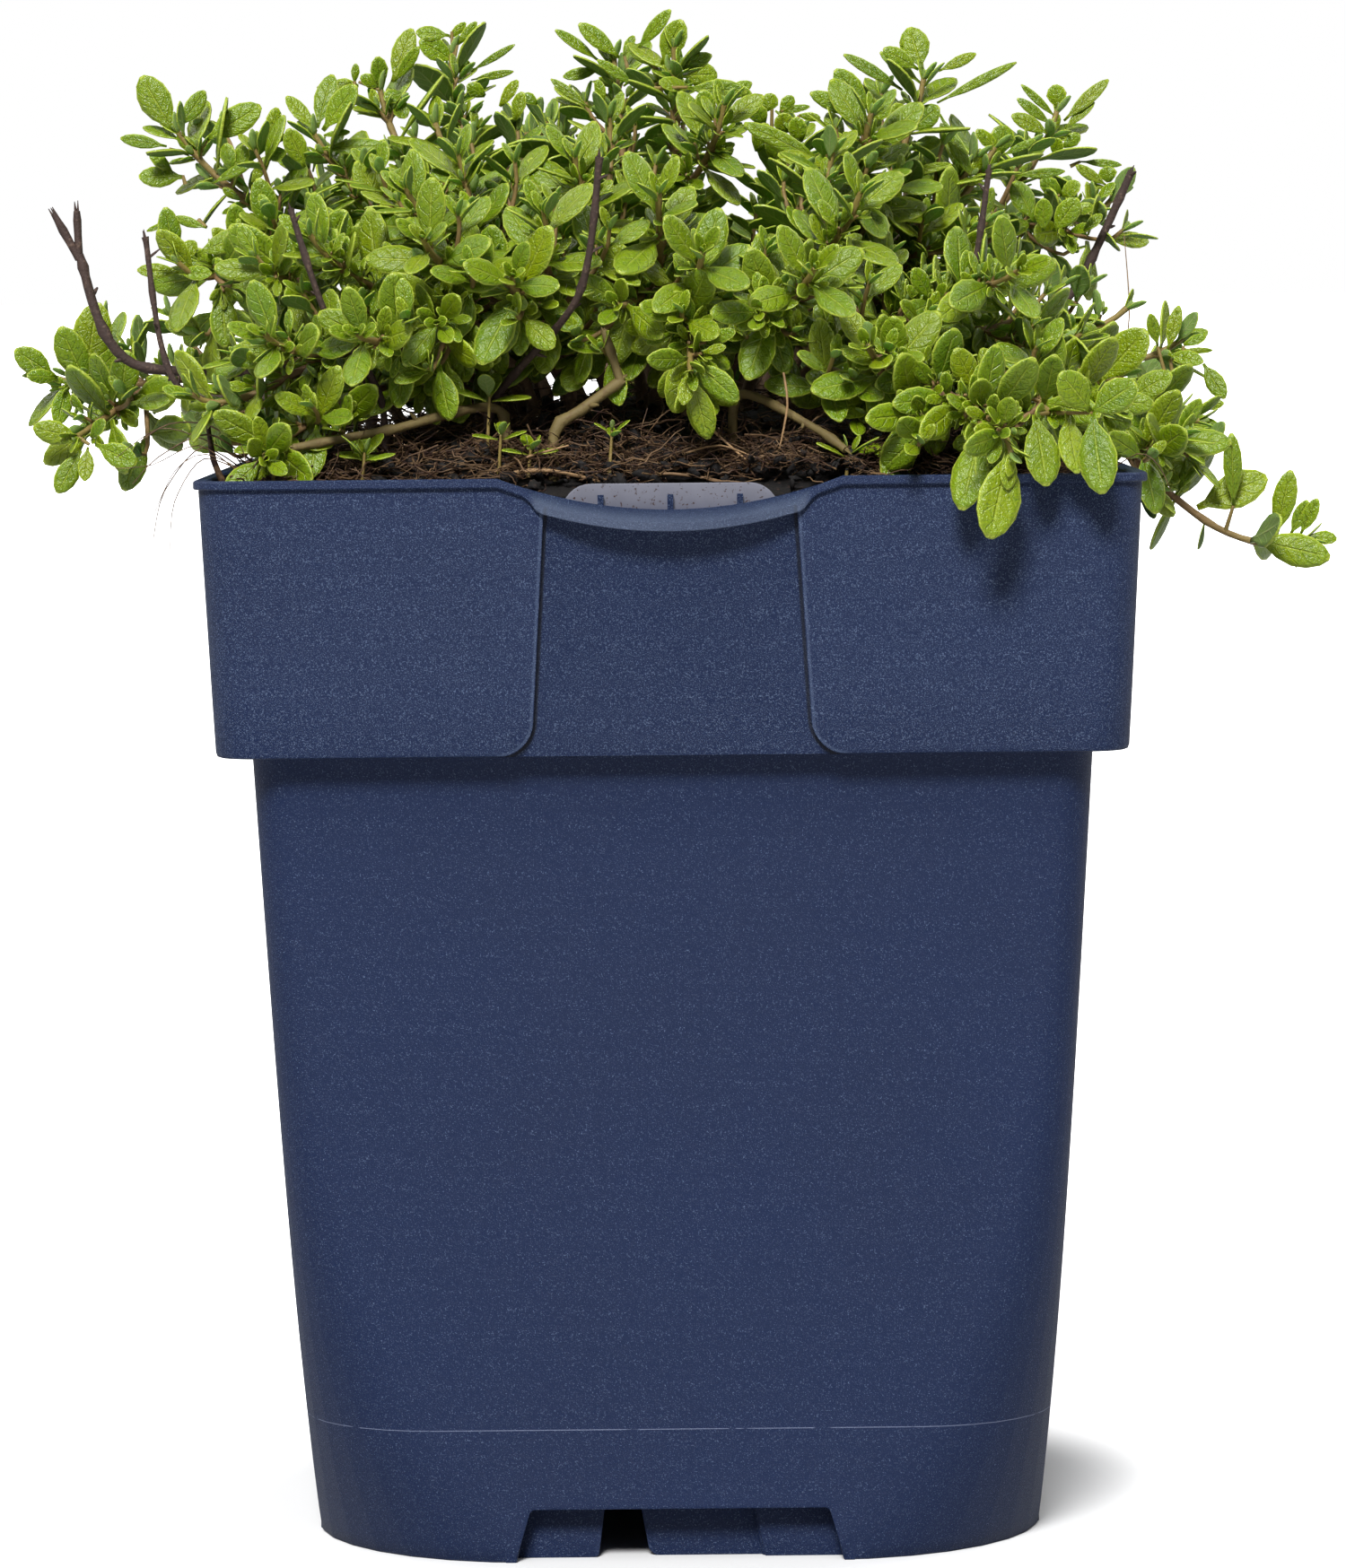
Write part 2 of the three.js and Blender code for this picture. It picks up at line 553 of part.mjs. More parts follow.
const pathSolid = ({ points, radii }, grow = 0) =>
  tube(points, radii.map((radius) => radius + grow));

// Finds a root and paths that stay clear of everything placed before.
function growShoot(name, shoot) {
  const freeRoot = (x, y) => roots.every((root) => Math.hypot(root.x - x, root.y - y) > ROOT_SPACING);
  for (let attempt = 0; attempt < ATTEMPTS; attempt++) {
    const loose = 1.5 + attempt * 0.08;
    const [x, y] = shoot.tip.slice(0, 2).map((place) => {
      const out = place * ROOT_SHARE + draw(-loose, loose);
      return THREE.MathUtils.clamp(out, -ROOT_REACH, ROOT_REACH);
    });
    if (!freeRoot(x, y)) continue;
    const ground = soilTop(x, y);
    const curve = mainCurve(new THREE.Vector3(x, y, ground + START), shoot);
    const peg = new THREE.Vector3(x, y, ground - PEG);
    const main = makeStem(curve, shoot.fork ? PAIRS.slice(0, FORK_PAIRS) : PAIRS, STEM.base, peg);
    const aboveGround = { points: main.points.slice(1), radii: main.radii.slice(1) };
    if (clashes(pathSolid(aboveGround, SEAT), name)) continue;
    const root = { x, y, radius: STEM.base };
    if (!shoot.fork) return { name, root, main };
    for (const at of FORK_STARTS) {
      const fork = makeStem(forkCurve(curve, at, shoot.fork), PAIRS.slice(0, FORK_PAIRS), STEM.forkBase);
      if (!clashes(pathSolid(fork, SEAT), name)) return { name, root, main, fork };
    }
  }
  throw new Error(`${name} finds no free way up`);
}

// What is tried in turn to find a leaf room: a twist about its stem, degrees more of pitch, and a share of
// its length.
const RETRIES = [
  [0, 0, 1],
  [0.4, 0, 1],
  [-0.4, 0, 1],
  [0, 14, 0.9],
  [0, -14, 0.9],
  [0.3, 12, 0.75],
  [-0.3, -12, 0.75],
];

// A stem with its leaves as one closed surface: each leaf grows out of one face between two rings.
function leafyStem(name, { marks, points, radii }, stage) {
  const rings = stemRings(points, radii);
  const places = rings.flatMap((ring) => ring.corners.map((corner) => corner.toArray()));
  const index = [];
  const last = (rings.length - 1) * SIDES;
  let level = 0;
  for (let ring = 0; ring < rings.length - 1; ring++) {
    const { pair } = marks[ring];
    if (pair) level++;
    for (let i = 0; i < SIDES; i++) {
      const q0 = ring * SIDES + i;
      const q1 = ring * SIDES + ((i + 1) % SIDES);
      const [q2, q3] = [q1 + SIDES, q0 + SIDES];
      const bears = pair && (i + level + stage) % 2 === 0;
      const leaf = bears && freeLeaf(name, [q0, q1, q2, q3].map((q) => places[q]), rings[ring], pair);
      if (!leaf) {
        index.push(q0, q1, q2, q0, q2, q3);
        continue;
      }
      const numbers = [q0, q1, q2, q3, ...leaf.map((_, k) => places.length + k)];
      places.push(...leaf.map((point) => point.toArray()));
      index.push(...LEAF_FACES.flat().map((k) => numbers[k]));
    }
  }
  for (let i = 1; i < SIDES - 1; i++) {
    index.push(0, i + 1, i);
    index.push(last, last + i, last + i + 1);
  }
  return closedSolid(places.flat(), index);
}

// The points of a leaf on one face of its stem, where there is room for it, or nothing.
function freeLeaf(name, face, ring, { length, pitch }) {
  const base = new THREE.Vector3();
  for (const corner of face) base.add(new THREE.Vector3(...corner).multiplyScalar(1 / face.length));
  const straight = base.clone().sub(ring.centre);
  straight.addScaledVector(ring.along, -straight.dot(ring.along)).normalize();
  const size = length * draw(0.9, 1.1);
  const lean = pitch + draw(-8, 8);
  const swing = draw(-0.2, 0.2);
  for (const [twist, more, shrink] of RETRIES) {
    const leaf = {
      base,
      out: straight.clone().applyAxisAngle(ring.along, swing + twist),
      along: ring.along,
      pitch: radians(lean + more),
      length: size * shrink,
    };
    const points = bladePoints(leaf);
    const probe = bladeProbe(leaf, points);
    const body = leafBody(face, points);
    if (clashes(probe) || clashes(body, name, `${name} leaf`)) continue;
    remember(`${name} leaf`, probe);
    remember(`${name} leaf`, body);
    return points;
  }
  return null;
}

// The shoots of the far half, spread over the same dome by the golden angle.
function farShoots() {
  return Array.from({ length: FAR.count }, (_, i) => {
    reseed(500 + i);
    const share = (i + 0.5) / FAR.count;
    const [low, high] = [FAR.lowest, FAR.highest].map((degrees) => Math.sin(radians(degrees)));
    const sine = THREE.MathUtils.lerp(low, high, share);
    const azimuth = radians(FAR.first + (((i * FAR.golden) % 360) / 360) * FAR.sweep);
    const reach = draw(0.95, 1.04);
    const level = Math.sqrt(1 - sine * sine) * FAR.across * reach;
    const tip = [level * Math.cos(azimuth), level * Math.sin(azimuth), FAR.from + sine * FAR.up * reach];
    if (i % 2) return { tip };
    const beside = azimuth + (i % 4 ? FAR.forkTurn : -FAR.forkTurn);
    const height = Math.max(tip[2] - FAR.forkDrop, RIM_Z + 4);
    return { tip, fork: { tip: [level * Math.cos(beside), level * Math.sin(beside), height] } };
  });
}

// A bare stem: a peg in the soil, then straight stretches to its broken end, with any prongs.
function makeBareStem({ half, route, prongs = [] }) {
  const [[x, y, z], ...rest] = route;
  const peg = new THREE.Vector3(x, y, soilTop(x, y) - PEG);
  const points = [peg, new THREE.Vector3(x, y, z), ...rest.map((place) => new THREE.Vector3(...place))];
  let solid = tube(points, points.map(() => half));
  for (const prong of prongs) {
    const ends = prong.map((place) => new THREE.Vector3(...place));
    solid = solid.add(tube(ends, [half * 0.8, half * 0.6]));
  }
  return solid;
}

// ---- Assembly -----------------------------------------------------------------------------------

const plastic = new THREE.MeshStandardMaterial({ color: 0x33456b, roughness: 0.5, metalness: 0 });
const peat = new THREE.MeshStandardMaterial({ color: 0x35251b, roughness: 1, metalness: 0 });
const wood = new THREE.MeshStandardMaterial({ color: 0x4b3a2e, roughness: 0.9, metalness: 0 });
const green = new THREE.MeshStandardMaterial({ color: 0x74a32c, roughness: 0.55, metalness: 0 });

const pottedThyme = new THREE.Group();
function addMesh(name, solid, material) {
  const mesh = new THREE.Mesh(geometryOf(solid), material);
  mesh.name = name;
  pottedThyme.add(mesh);
}

const pot = makePot();
addMesh("pot", pot, plastic);
remember("pot", pot);

const roots = []; // where each stem enters the soil
for (const stem of BARE_STEMS) {
  const solid = makeBareStem(stem);
  const [x, y] = stem.route[0];
  roots.push({ x, y, radius: stem.half });
  remember(stem.name, solid);
  addMesh(stem.name, solid, wood);
}
remember("ground", makeSoil([]));

const shoots = [...SHOOTS, ...farShoots()].map((shoot, i) => {
  const name = `thyme_shoot_${String(i + 1).padStart(2, "0")}`;
  reseed(i);
  const grown = growShoot(name, shoot);
  roots.push(grown.root);
  remember(name, pathSolid(grown.main));
  if (grown.fork) remember(name, pathSolid(grown.fork));
  return grown;
});
shoots.forEach(({ name, main, fork }, i) => {
  reseed(100 + i);
  let solid = leafyStem(name, main, i % 2);
  if (fork) solid = solid.add(leafyStem(name, fork, (i + 1) % 2));
  addMesh(name, solid, green);
});
addMesh("potting_soil", makeSoil(roots), peat);

export default pottedThyme;
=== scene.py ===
"""Potted thyme: the finished surfaces of a moulded pot, its peat and its bush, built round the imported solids.

Sizes are in millimetres until a mesh is made, and Blender's metres from then on.
"""

import math
import random

import bmesh
import bpy
from bpy.props import FloatProperty, FloatVectorProperty, IntProperty, PointerProperty
from mathutils import Matrix, Vector, noise
from mathutils.kdtree import KDTree


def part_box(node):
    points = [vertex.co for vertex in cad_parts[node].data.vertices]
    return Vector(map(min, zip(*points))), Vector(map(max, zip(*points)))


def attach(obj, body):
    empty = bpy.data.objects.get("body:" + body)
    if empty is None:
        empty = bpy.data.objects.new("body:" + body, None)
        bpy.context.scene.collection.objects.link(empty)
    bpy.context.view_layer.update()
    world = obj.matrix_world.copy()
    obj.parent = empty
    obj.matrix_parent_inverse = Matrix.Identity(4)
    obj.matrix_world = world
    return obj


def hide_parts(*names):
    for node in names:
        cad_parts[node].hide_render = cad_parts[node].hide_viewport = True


bl_info = {
    "name": "Potted Thyme",
    "version": (1, 0, 0),
    "blender": (4, 5, 0),
    "location": "3D View > Sidebar > Thyme",
    "description": "Builds a potted thyme: pot, peat, leafy shoots, bare stems and a small studio",
    "category": "Add Mesh",
}

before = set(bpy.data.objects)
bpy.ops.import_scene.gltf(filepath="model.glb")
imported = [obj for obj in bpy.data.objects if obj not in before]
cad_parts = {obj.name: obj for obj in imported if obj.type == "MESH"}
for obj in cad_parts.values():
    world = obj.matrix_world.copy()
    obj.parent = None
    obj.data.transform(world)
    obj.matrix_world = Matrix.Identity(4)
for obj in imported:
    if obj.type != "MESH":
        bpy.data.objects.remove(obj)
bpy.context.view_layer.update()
MM = 0.001
UP = Vector((0, 0, 1))

# ---- Driving dimensions, in millimetres ---------------------------------------------------------

RIM_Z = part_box("pot")[1].z / MM
LIP_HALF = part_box("pot")[1].x / MM
WALL = 1.2
FOOT = {"half": 44.1, "wall": 1.4, "ceiling": 6.6, "taper": 0.0543}
CORNER = {"top": 4.5, "growth": 22.5, "power": 3.5}
COLLAR = {"bottom": 96.6, "low": 53.4, "high": 54.9, "corner": 5.0}
LIP = {"tall": 1.05, "corner": 5.6}
LIP_Z = RIM_Z - LIP["tall"]
COLLAR_LEAN = (COLLAR["high"] - COLLAR["low"]) / (LIP_Z - COLLAR["bottom"])
DIP = {"half": 20.0, "deep": 3.75}
SCOOP = {"half": 15.5, "tall": 2.5, "proud": 2.1}
BELOW_DIP = 121.5  # height of the collar's last plain ring under the dip
PANEL = {"deep": 1.0, "half_top": 14.7, "half_bottom": 16.4, "round": 4.0}
TONGUE = {"half": 12.7, "top": 128.2, "round": 3.5, "back": 4.2, "thick": 1.0}
NOTCH = {"half_top": 17.7, "half_bottom": 19.6, "back": 3.2, "step": 1.0}
DRAIN = {"radius": 3.5, "offset": 24.0}
PARTING_Z = 16.1  # where the two halves of the mould met
FLOOR_TOP = FOOT["ceiling"] + WALL
LEDGE_TOP = COLLAR["bottom"] + WALL

SOIL = {"half": 53.0, "edge": 126.1, "rise": 10.5, "lump": 0.8}
PEG = 6.5  # how deep a stem's foot goes into the packed soil
START = 1.6  # height above the soil at which a stem's line starts
FAN_CENTRE = Vector((0, 0, 116))  # where the shoots fan out from
NODE_HALF = 0.45  # half the length of a packed stem's node
INTERNODE = 11.0
PAIR_BACKS = [0.45, 2.6, 6.4, 12.5]  # distances of a stem's leaf pairs from its tip
FORK_PAIRS = 3
FORK_STARTS = [0.55, 0.45, 0.65, 0.35, 0.75]
# Finer growth: leaf pairs further down a stem and their lengths, young tufts by their distance from the tip,
# and side twigs by their share of the stem's length.
LOWER_BACKS = [17.5, 22.5, 28, 33.5, 39.5, 46]
LOWER_SIZES = [7.0, 6.8, 6.4, 6.0, 5.4, 5.0]
TUFT_BACKS = [4.5, 7.0, 10.0, 13.0, 16.5, 20.0, 25.0]
TWIG_SHARES = [0.14, 0.24, 0.34, 0.44, 0.54, 0.64, 0.74, 0.84]
# Room that leaves keep: above the peat, and above the rim between its inner and outer faces.
ROOM = {"peat": 0.6, "rim": 0.8, "rim_inside": 52, "rim_outside": 58.1, "peat_half": 53}
# Where loose things lie: the peat's half width, the strip that shows most, and what the bush covers.
LOOSE = {
    "half": 51.5, "strip": (-48, -38), "in_strip": 0.3, "covered": 24, "under_bush": 0.3, "tongues": 48.3,
}

# The shoots that stand out: tips, where they point, and the side shoot of the same stem.
SHOOTS = [
    {"tip": (-77, -5, 141), "aim": (-0.9, -0.2, 0.4),
     "fork": {"tip": (-72, -17, 133.5), "aim": (-0.5, -0.8, -0.3)}},
    {"tip": (-60, -5, 170.5), "fork": {"tip": (-59, -22, 154.5)}},
    {"tip": (-43, -10, 170), "fork": {"tip": (-49, -33, 155)}},
    {"tip": (-36, 15, 176), "aim": (-0.2, 0.1, 1), "fork": {"tip": (-45, 24, 163)}},
    {"tip": (-27.5, 30, 181), "aim": (0, 0.2, 1), "fork": {"tip": (-18, 34, 171)}},
    {"tip": (-6.5, 10, 179.5), "aim": (-0.1, 0, 1), "fork": {"tip": (-15, 18, 172)}},
    {"tip": (1, -1, 180.5), "aim": (0, -0.2, 1), "fork": {"tip": (7, -12, 173)}},
    {"tip": (32, 5, 176.5), "aim": (0.2, 0, 1), "fork": {"tip": (25, -9, 172)}},
    {"tip": (41, 10, 168), "fork": {"tip": (31, 19, 166)}},
    {"tip": (50, 30, 173), "aim": (0.3, 0.2, 1), "fork": {"tip": (57, 25, 162)}},
    {"tip": (41, -46, 152.5), "aim": (0.3, -0.9, 0.3), "fork": {"tip": (49, -34, 145)}},
    {"tip": (52, -46, 137), "aim": (0.5, -0.8, 0.1),
     "fork": {"tip": (44, -55, 136), "aim": (0.3, -0.9, -0.2)}},
    {"tip": (64, 5, 144), "fork": {"tip": (65, -9, 134), "aim": (1, -0.1, 0.1)}},
    {"tip": (78, -10, 119.5), "aim": (0.94, 0, 0.3), "rise": 24, "lean": 1.1, "reach": 19, "hanging": 0.4},
    {"tip": (36, -58, 134.5), "aim": (0.2, -0.9, -0.3),
     "fork": {"tip": (39, -63, 131.5), "aim": (0.1, -0.6, -0.8)}},
    {"tip": (29, -53, 136), "aim": (-0.2, -0.9, 0.2),
     "fork": {"tip": (23, -50, 144), "aim": (-0.2, -0.9, 0.3)}},
    {"tip": (17, -51, 153), "aim": (0.2, -0.8, 0.5),
     "fork": {"tip": (10.5, -49, 148), "aim": (-0.1, -0.9, 0.1)}},
    {"tip": (23, -32, 162), "fork": {"tip": (20, -20, 167)}},
    {"tip": (4, -51, 155), "aim": (0.1, -0.8, 0.6),
     "fork": {"tip": (2.5, -52, 141), "aim": (0, -0.9, -0.4)}},
    {"tip": (-28.5, -47, 157), "aim": (-0.1, -0.9, 0.5),
     "fork": {"tip": (-27, -48, 147), "aim": (0, -0.9, 0.1)}},
    {"tip": (-18, -51, 152.5), "aim": (0.1, -0.9, 0.4), "fork": {"tip": (-14.5, -44, 160)}},
    {"tip": (-47, -49, 146), "aim": (-0.3, -0.8, 0.5), "fork": {"tip": (-56, -43, 139)}},
    {"tip": (-36, -53, 146), "aim": (-0.1, -0.9, 0.3)},
    {"tip": (-31, -34, 163), "fork": {"tip": (-25, -28, 167)}},
    {"tip": (-42, -41, 157.5)},
    {"tip": (-11, -29, 166.5), "fork": {"tip": (-7, -15, 171.5)}},
    {"tip": (-1, -41, 162), "fork": {"tip": (-6, -45, 149), "aim": (-0.2, -0.9, 0.2)}},
    {"tip": (-47, -51, 131.5), "aim": (0.3, -0.9, 0.1)},
]
# The shoots of the far half follow a golden-angle spread over the same dome.
FAR = {
    "count": 20, "golden": 137.508, "first": -10, "sweep": 198, "across": 67, "up": 53, "base": 122,
    "lowest": 9, "highest": 74, "fork_turn": 0.24, "fork_drop": 8,
}

# Leaves that mark the bush's outline, by the shoot's number: the twigs' ends, and each leaf's
# stalk, tip and width.
SPRIGS = {
    1: {
        "twigs": [
            ((-71.8, -16.9, 133.5), (-70.4, -17.4, 132.6)),
        ],
        "leaves": [
            ((-71.4, -17.4, 133.1), (-77.1, -18, 134.8), 3),
            ((-70.2, -17.4, 133.4), (-68.4, -18.4, 135.6), 1.8),
            ((-69.6, -17.5, 132.6), (-64.6, -18.4, 130.2), 3),
            ((-70.5, -18, 132.3), (-70.8, -20, 128.4), 2),
            ((-71.4, -17.6, 131.9), (-74.3, -18.4, 126.8), 2.9),
            ((-75.6, -5.4, 140.8), (-80.2, -7, 144), 3.2),
            ((-75.2, -5.6, 140.6), (-78.8, -7.4, 140.9), 1.9),
            ((-71.6, -4.8, 139.4), (-74.6, -7.6, 146.6), 4.2), ((-72, -4.2, 140.2), (-70.2, -5, 149.7), 5),
            ((-71.2, -4.6, 140.6), (-67.2, -6, 144.2), 2.2),
            ((-69.2, -4.4, 139.7), (-70.9, -7, 134.8), 2.8), ((-74.1, -5.2, 140), (-75.1, -7, 134.9), 2.6),
        ],
    },
    2: {
        "twigs": [
            ((-57.4, -8, 159.7), (-56.4, -9, 158.8)), ((-59.4, -5, 168), (-61.1, -5, 168.5)),
            ((-59.1, -6, 164.1), (-59.4, -6, 165.2)), ((-57.5, -5, 168), (-56.4, -6, 169.4)),
        ],
        "leaves": [
            ((-60.6, -5, 170.6), (-64.4, -5, 177.4), 4.1), ((-59.8, -5, 171.1), (-56.6, -4, 175.6), 2.3),
            ((-56.4, -6, 169.6), (-49.8, -7, 173.6), 3.7), ((-61.4, -5, 168.8), (-67.1, -5, 169.9), 1.7),
            ((-60.8, -6, 165.7), (-63.4, -6, 168.1), 1.7), ((-59.2, -6, 165), (-64.7, -7, 165.2), 2.9),
            ((-56.3, -10, 158.7), (-60.4, -9, 160.1), 1.3), ((-60.2, -9, 159.6), (-63.7, -9, 158.4), 0.8),
            ((-59.6, -19, 154.6), (-60.4, -20, 161.1), 2.9), ((-56.8, -20, 155.5), (-50.4, -21, 158.2), 3),
            ((-59.1, -20, 154.8), (-57, -19, 157), 2.1), ((-58.8, -20, 153.3), (-63.9, -21, 153.7), 1.9),
            ((-59, -21, 153.2), (-54.9, -22, 153.1), 1.9),
        ],
    },
    3: {
        "twigs": [
            ((-48.7, -8, 166.8), (-48.6, -8, 170)),
        ],
        "leaves": [
            ((-48.6, -8, 169.9), (-47.6, -8, 173.3), 1.9), ((-48.9, -8, 169.2), (-46.2, -9, 169.8), 1.2),
            ((-50.3, -8, 168.3), (-50.1, -8, 170.5), 1), ((-53.2, -9, 165.8), (-53.9, -9, 169), 2.1),
            ((-52.2, -9, 166), (-51.7, -9, 168.7), 2), ((-55.6, -9, 164.1), (-50.5, -10, 166.8), 1.4),
            ((-50.7, -9, 164.2), (-48.7, -9, 167.4), 1.6), ((-42.7, -10, 170.3), (-46.4, -9, 174.6), 2),
            ((-42.7, -9, 170.8), (-40.9, -7, 177.5), 2.8), ((-41.9, -11, 170.4), (-37.7, -12, 175.8), 3.2),
            ((-44.1, -12, 165.9), (-46, -13, 170.6), 2.8), ((-42, -11, 168.2), (-34.2, -12, 168.6), 2.3),
            ((-41.8, -11, 169.8), (-38.6, -11, 170.2), 1), ((-46.5, -9, 167.9), (-48.7, -9, 167.4), 2),
        ],
    },
    4: {
        "twigs": [
            ((-39.2, 15, 176.3), (-39.2, 15, 177.2)), ((-35.8, 15, 176), (-38.7, 15, 177.1)),
        ],
        "leaves": [
            ((-35.9, 15, 176.5), (-36.2, 14, 180.2), 2.3), ((-35.8, 15, 176.6), (-38.4, 14, 177.7), 1.8),
            ((-39.2, 15, 177.1), (-39, 15, 179.4), 1.1), ((-39.6, 15, 177.1), (-44, 15, 176.5), 0.9),
            ((-38.7, 15, 176.6), (-41.8, 15, 176.9), 1.7), ((-34.5, 16, 177.1), (-32, 17, 183.9), 2.9),
            ((-34.2, 16, 177.1), (-31.1, 14, 181.3), 1.6), ((-33.3, 14, 175.7), (-35.4, 13, 174.8), 2),
            ((-34.1, 14, 175), (-32.7, 13, 172.5), 2.2),
        ],
    },
    5: {
        "twigs": [
            ((-27.5, 30, 177.4), (-25, 30, 178.5)), ((-27.3, 30, 180.8), (-27.4, 30, 183.9)),
            ((-27.2, 30, 180.1), (-26.7, 30, 182.2)),
        ],
        "leaves": [
            ((-27.7, 30, 183.4), (-31.9, 29, 183.9), 2.2), ((-27.1, 30, 180.1), (-31.5, 29, 182.8), 3),
            ((-27.7, 30, 183.1), (-25.6, 30, 185), 1.2), ((-26.7, 30, 182.2), (-24.2, 30, 185.1), 1.3),
            ((-25, 30, 178.8), (-19.4, 29, 182.2), 1), ((-25, 30, 177.7), (-19.6, 29, 178.7), 1.1),
            ((-28.1, 28, 175.7), (-30.5, 28, 176.2), 1.9), ((-26.6, 30, 178.7), (-25.2, 30, 180.1), 1.2),
            ((-21.1, 20, 174), (-18.8, 20, 177.3), 1.6), ((-19, 10, 172), (-18, 10, 175.5), 1.9),
            ((-16.2, 12, 174), (-17.9, 12, 175.3), 1.5), ((-23, 22, 175.4), (-25.2, 21, 176.8), 2),
        ],
    },
    6: {
        "twigs": [
            ((-4.6, 8, 177.2), (-3.6, 8, 175.9)), ((-4.7, 9, 177.8), (-5.2, 9, 179.8)),
        ],
        "leaves": [
            ((-8.4, 10, 179.3), (-13.6, 9, 183.3), 1.5), ((-5.8, 9, 179.6), (-10.7, 8, 183.9), 2.3),
            ((-8.2, 9, 178.1), (-12.8, 8, 177.3), 1.6), ((-3.6, 8, 175.9), (-8.5, 7, 179.3), 1.4),
            ((-5.3, 10, 179.9), (-4, 11, 182.4), 1.3), ((-1.7, 5, 178.2), (-4.8, 5, 181.2), 1.5),
            ((-9.5, -2, 173.1), (-14.2, -2, 176.7), 1.2), ((-7.8, 6, 174.1), (-8.6, 6, 176.8), 1.4),
        ],
    },
    7: {
        "twigs": [
            ((-1.4, 2, 175.9), (1.9, 3, 177.1)), ((-1.4, -2, 175.4), (2.6, -5, 175.4)),
            ((-1, 1, 177.7), (-3.4, 2, 180.4)),
        ],
        "leaves": [
            ((-3.5, 2, 180.4), (0.4, 0, 185.1), 1.9), ((-0.5, 0, 178.4), (2, -1, 183.8), 3.3),
            ((0.6, -1, 177.7), (5.6, -2, 179.4), 2), ((1.9, 3, 177.1), (6.4, 4, 177.2), 3.4),
            ((2.9, -3, 175.4), (-0.9, -4, 176.1), 2.1), ((2.6, -5, 175.3), (9.8, -6, 174.8), 2.7),
            ((5.2, -8, 171.1), (4.4, -9, 174.9), 2.6), ((6.6, 4, 174.3), (10.7, 5, 176.3), 1.8),
        ],
    },
    8: {
        "twigs": [
            ((13, 6, 167.1), (13.1, 5, 172.9)), ((14, 6, 171), (14.4, 5, 172.8)),
            ((16, 4, 168.2), (16.4, 4, 172.1)),
        ],
        "leaves": [
            ((12.3, 5, 172.7), (13.3, 5, 174.8), 2.2), ((14.2, 5, 172.5), (15.7, 5, 174.5), 1.8),
            ((10.9, 4, 172.3), (9.5, 3, 175.7), 1.6), ((13.9, 5, 172.5), (17.8, 5, 173.2), 1),
            ((13.5, 4, 172.7), (17, 3, 169.6), 1.5), ((19.5, -2, 166), (9.7, -4, 171), 2.4),
            ((16.4, 4, 172.1), (19.1, 4, 171.7), 1.2), ((12.1, 4, 171), (10.8, 3, 173.4), 2.4),
            ((14.9, 4, 169.9), (14.2, 3, 172.3), 2.6), ((11.2, 3, 167.6), (12.3, 2, 171.1), 2.8),
            ((16.6, 3, 168.7), (15.9, 2, 171.8), 2.4), ((14.3, 2, 165.9), (13, 0, 169.8), 3),
            ((29.3, 4, 175.1), (22.2, 3, 179.7), 1.6), ((31.6, 5, 176), (26.7, 6, 180.1), 1.7),
            ((31.3, 4, 177.6), (27, 3, 180.2), 2.3), ((31.8, 6, 177.7), (30.3, 7, 183), 3.8),
            ((33.8, 5, 177.4), (38.5, 5, 179.6), 1.5), ((33.6, 5, 173.5), (43.4, 4, 178.5), 1.3),
            ((25, 0, 172.6), (20.9, -1, 177.5), 3), ((24.6, -4, 171.6), (17.7, -5, 174.6), 2.3),
            ((30, 4, 169.9), (33.7, 3, 173), 3), ((29.8, 4, 170.1), (28.3, 3, 173.4), 2.6),
            ((25.4, 0, 171.2), (27.6, 0, 173.4), 2.2), ((30.3, 6, 167.9), (34, 5, 168.8), 2.2),
            ((34, 6, 172.1), (37.7, 4, 164.8), 1.8), ((37.2, 6, 165.9), (35.3, 5, 168.4), 1.5),
            ((29.1, 2, 164.6), (35.2, 1, 165.8), 1.2),
        ],
    },
    9: {
        "twigs": [
            ((41.2, 10, 166.1), (41.7, 10, 167.3)),
        ],
        "leaves": [
            ((41.6, 10, 167.5), (38.7, 9, 170.2), 1.8), ((41.7, 10, 167.3), (42.2, 10, 170.8), 3.3),
            ((41.9, 10, 167), (46, 9, 168.9), 1.1), ((43.6, 12, 164.5), (49.8, 11, 165), 1.3),
        ],
    },
    10: {
        "twigs": [
            ((49.2, 20, 162.1), (49.7, 20, 162.1)), ((55.7, 25, 161.8), (56.2, 25, 163.5)),
            ((51.5, 27, 165.9), (52.8, 27, 166.5)),
        ],
        "leaves": [
            ((50, 30, 172.1), (45.5, 29, 176.4), 1.1), ((50.2, 30, 173.5), (49.8, 30, 176.4), 2.6),
            ((50.9, 30, 171.8), (56.6, 30, 177.1), 1.8), ((49.3, 29, 171.2), (45, 28, 174.7), 1.5),
            ((48.9, 28, 170.1), (44.2, 27, 172.6), 2.2), ((51, 30, 170.8), (54.7, 30, 174.3), 1.5),
            ((50.6, 28, 167.1), (53.8, 28, 167.5), 0.9), ((50.7, 28, 168.4), (52.8, 28, 170), 1.8),
            ((49.6, 28, 167.3), (50, 27, 169.5), 1.8), ((56.1, 25, 163.3), (52.1, 24, 166), 1.5),
            ((56.3, 25, 163.8), (56, 25, 165.8), 2.4), ((56, 25, 163.1), (53.2, 25, 163.4), 0.9),
            ((52.8, 27, 166.5), (58.1, 27, 166.1), 1.1), ((49.9, 20, 162.1), (47.3, 19, 164.2), 2.3),
            ((49.9, 20, 162.1), (52.2, 19, 163.6), 2.3), ((48.3, 10, 157.5), (51.3, 9, 161.5), 3),
            ((46.9, 8, 157.5), (46.9, 7, 161.6), 2.4), ((45.8, 8, 158.8), (43.4, 8, 163.8), 3.2),
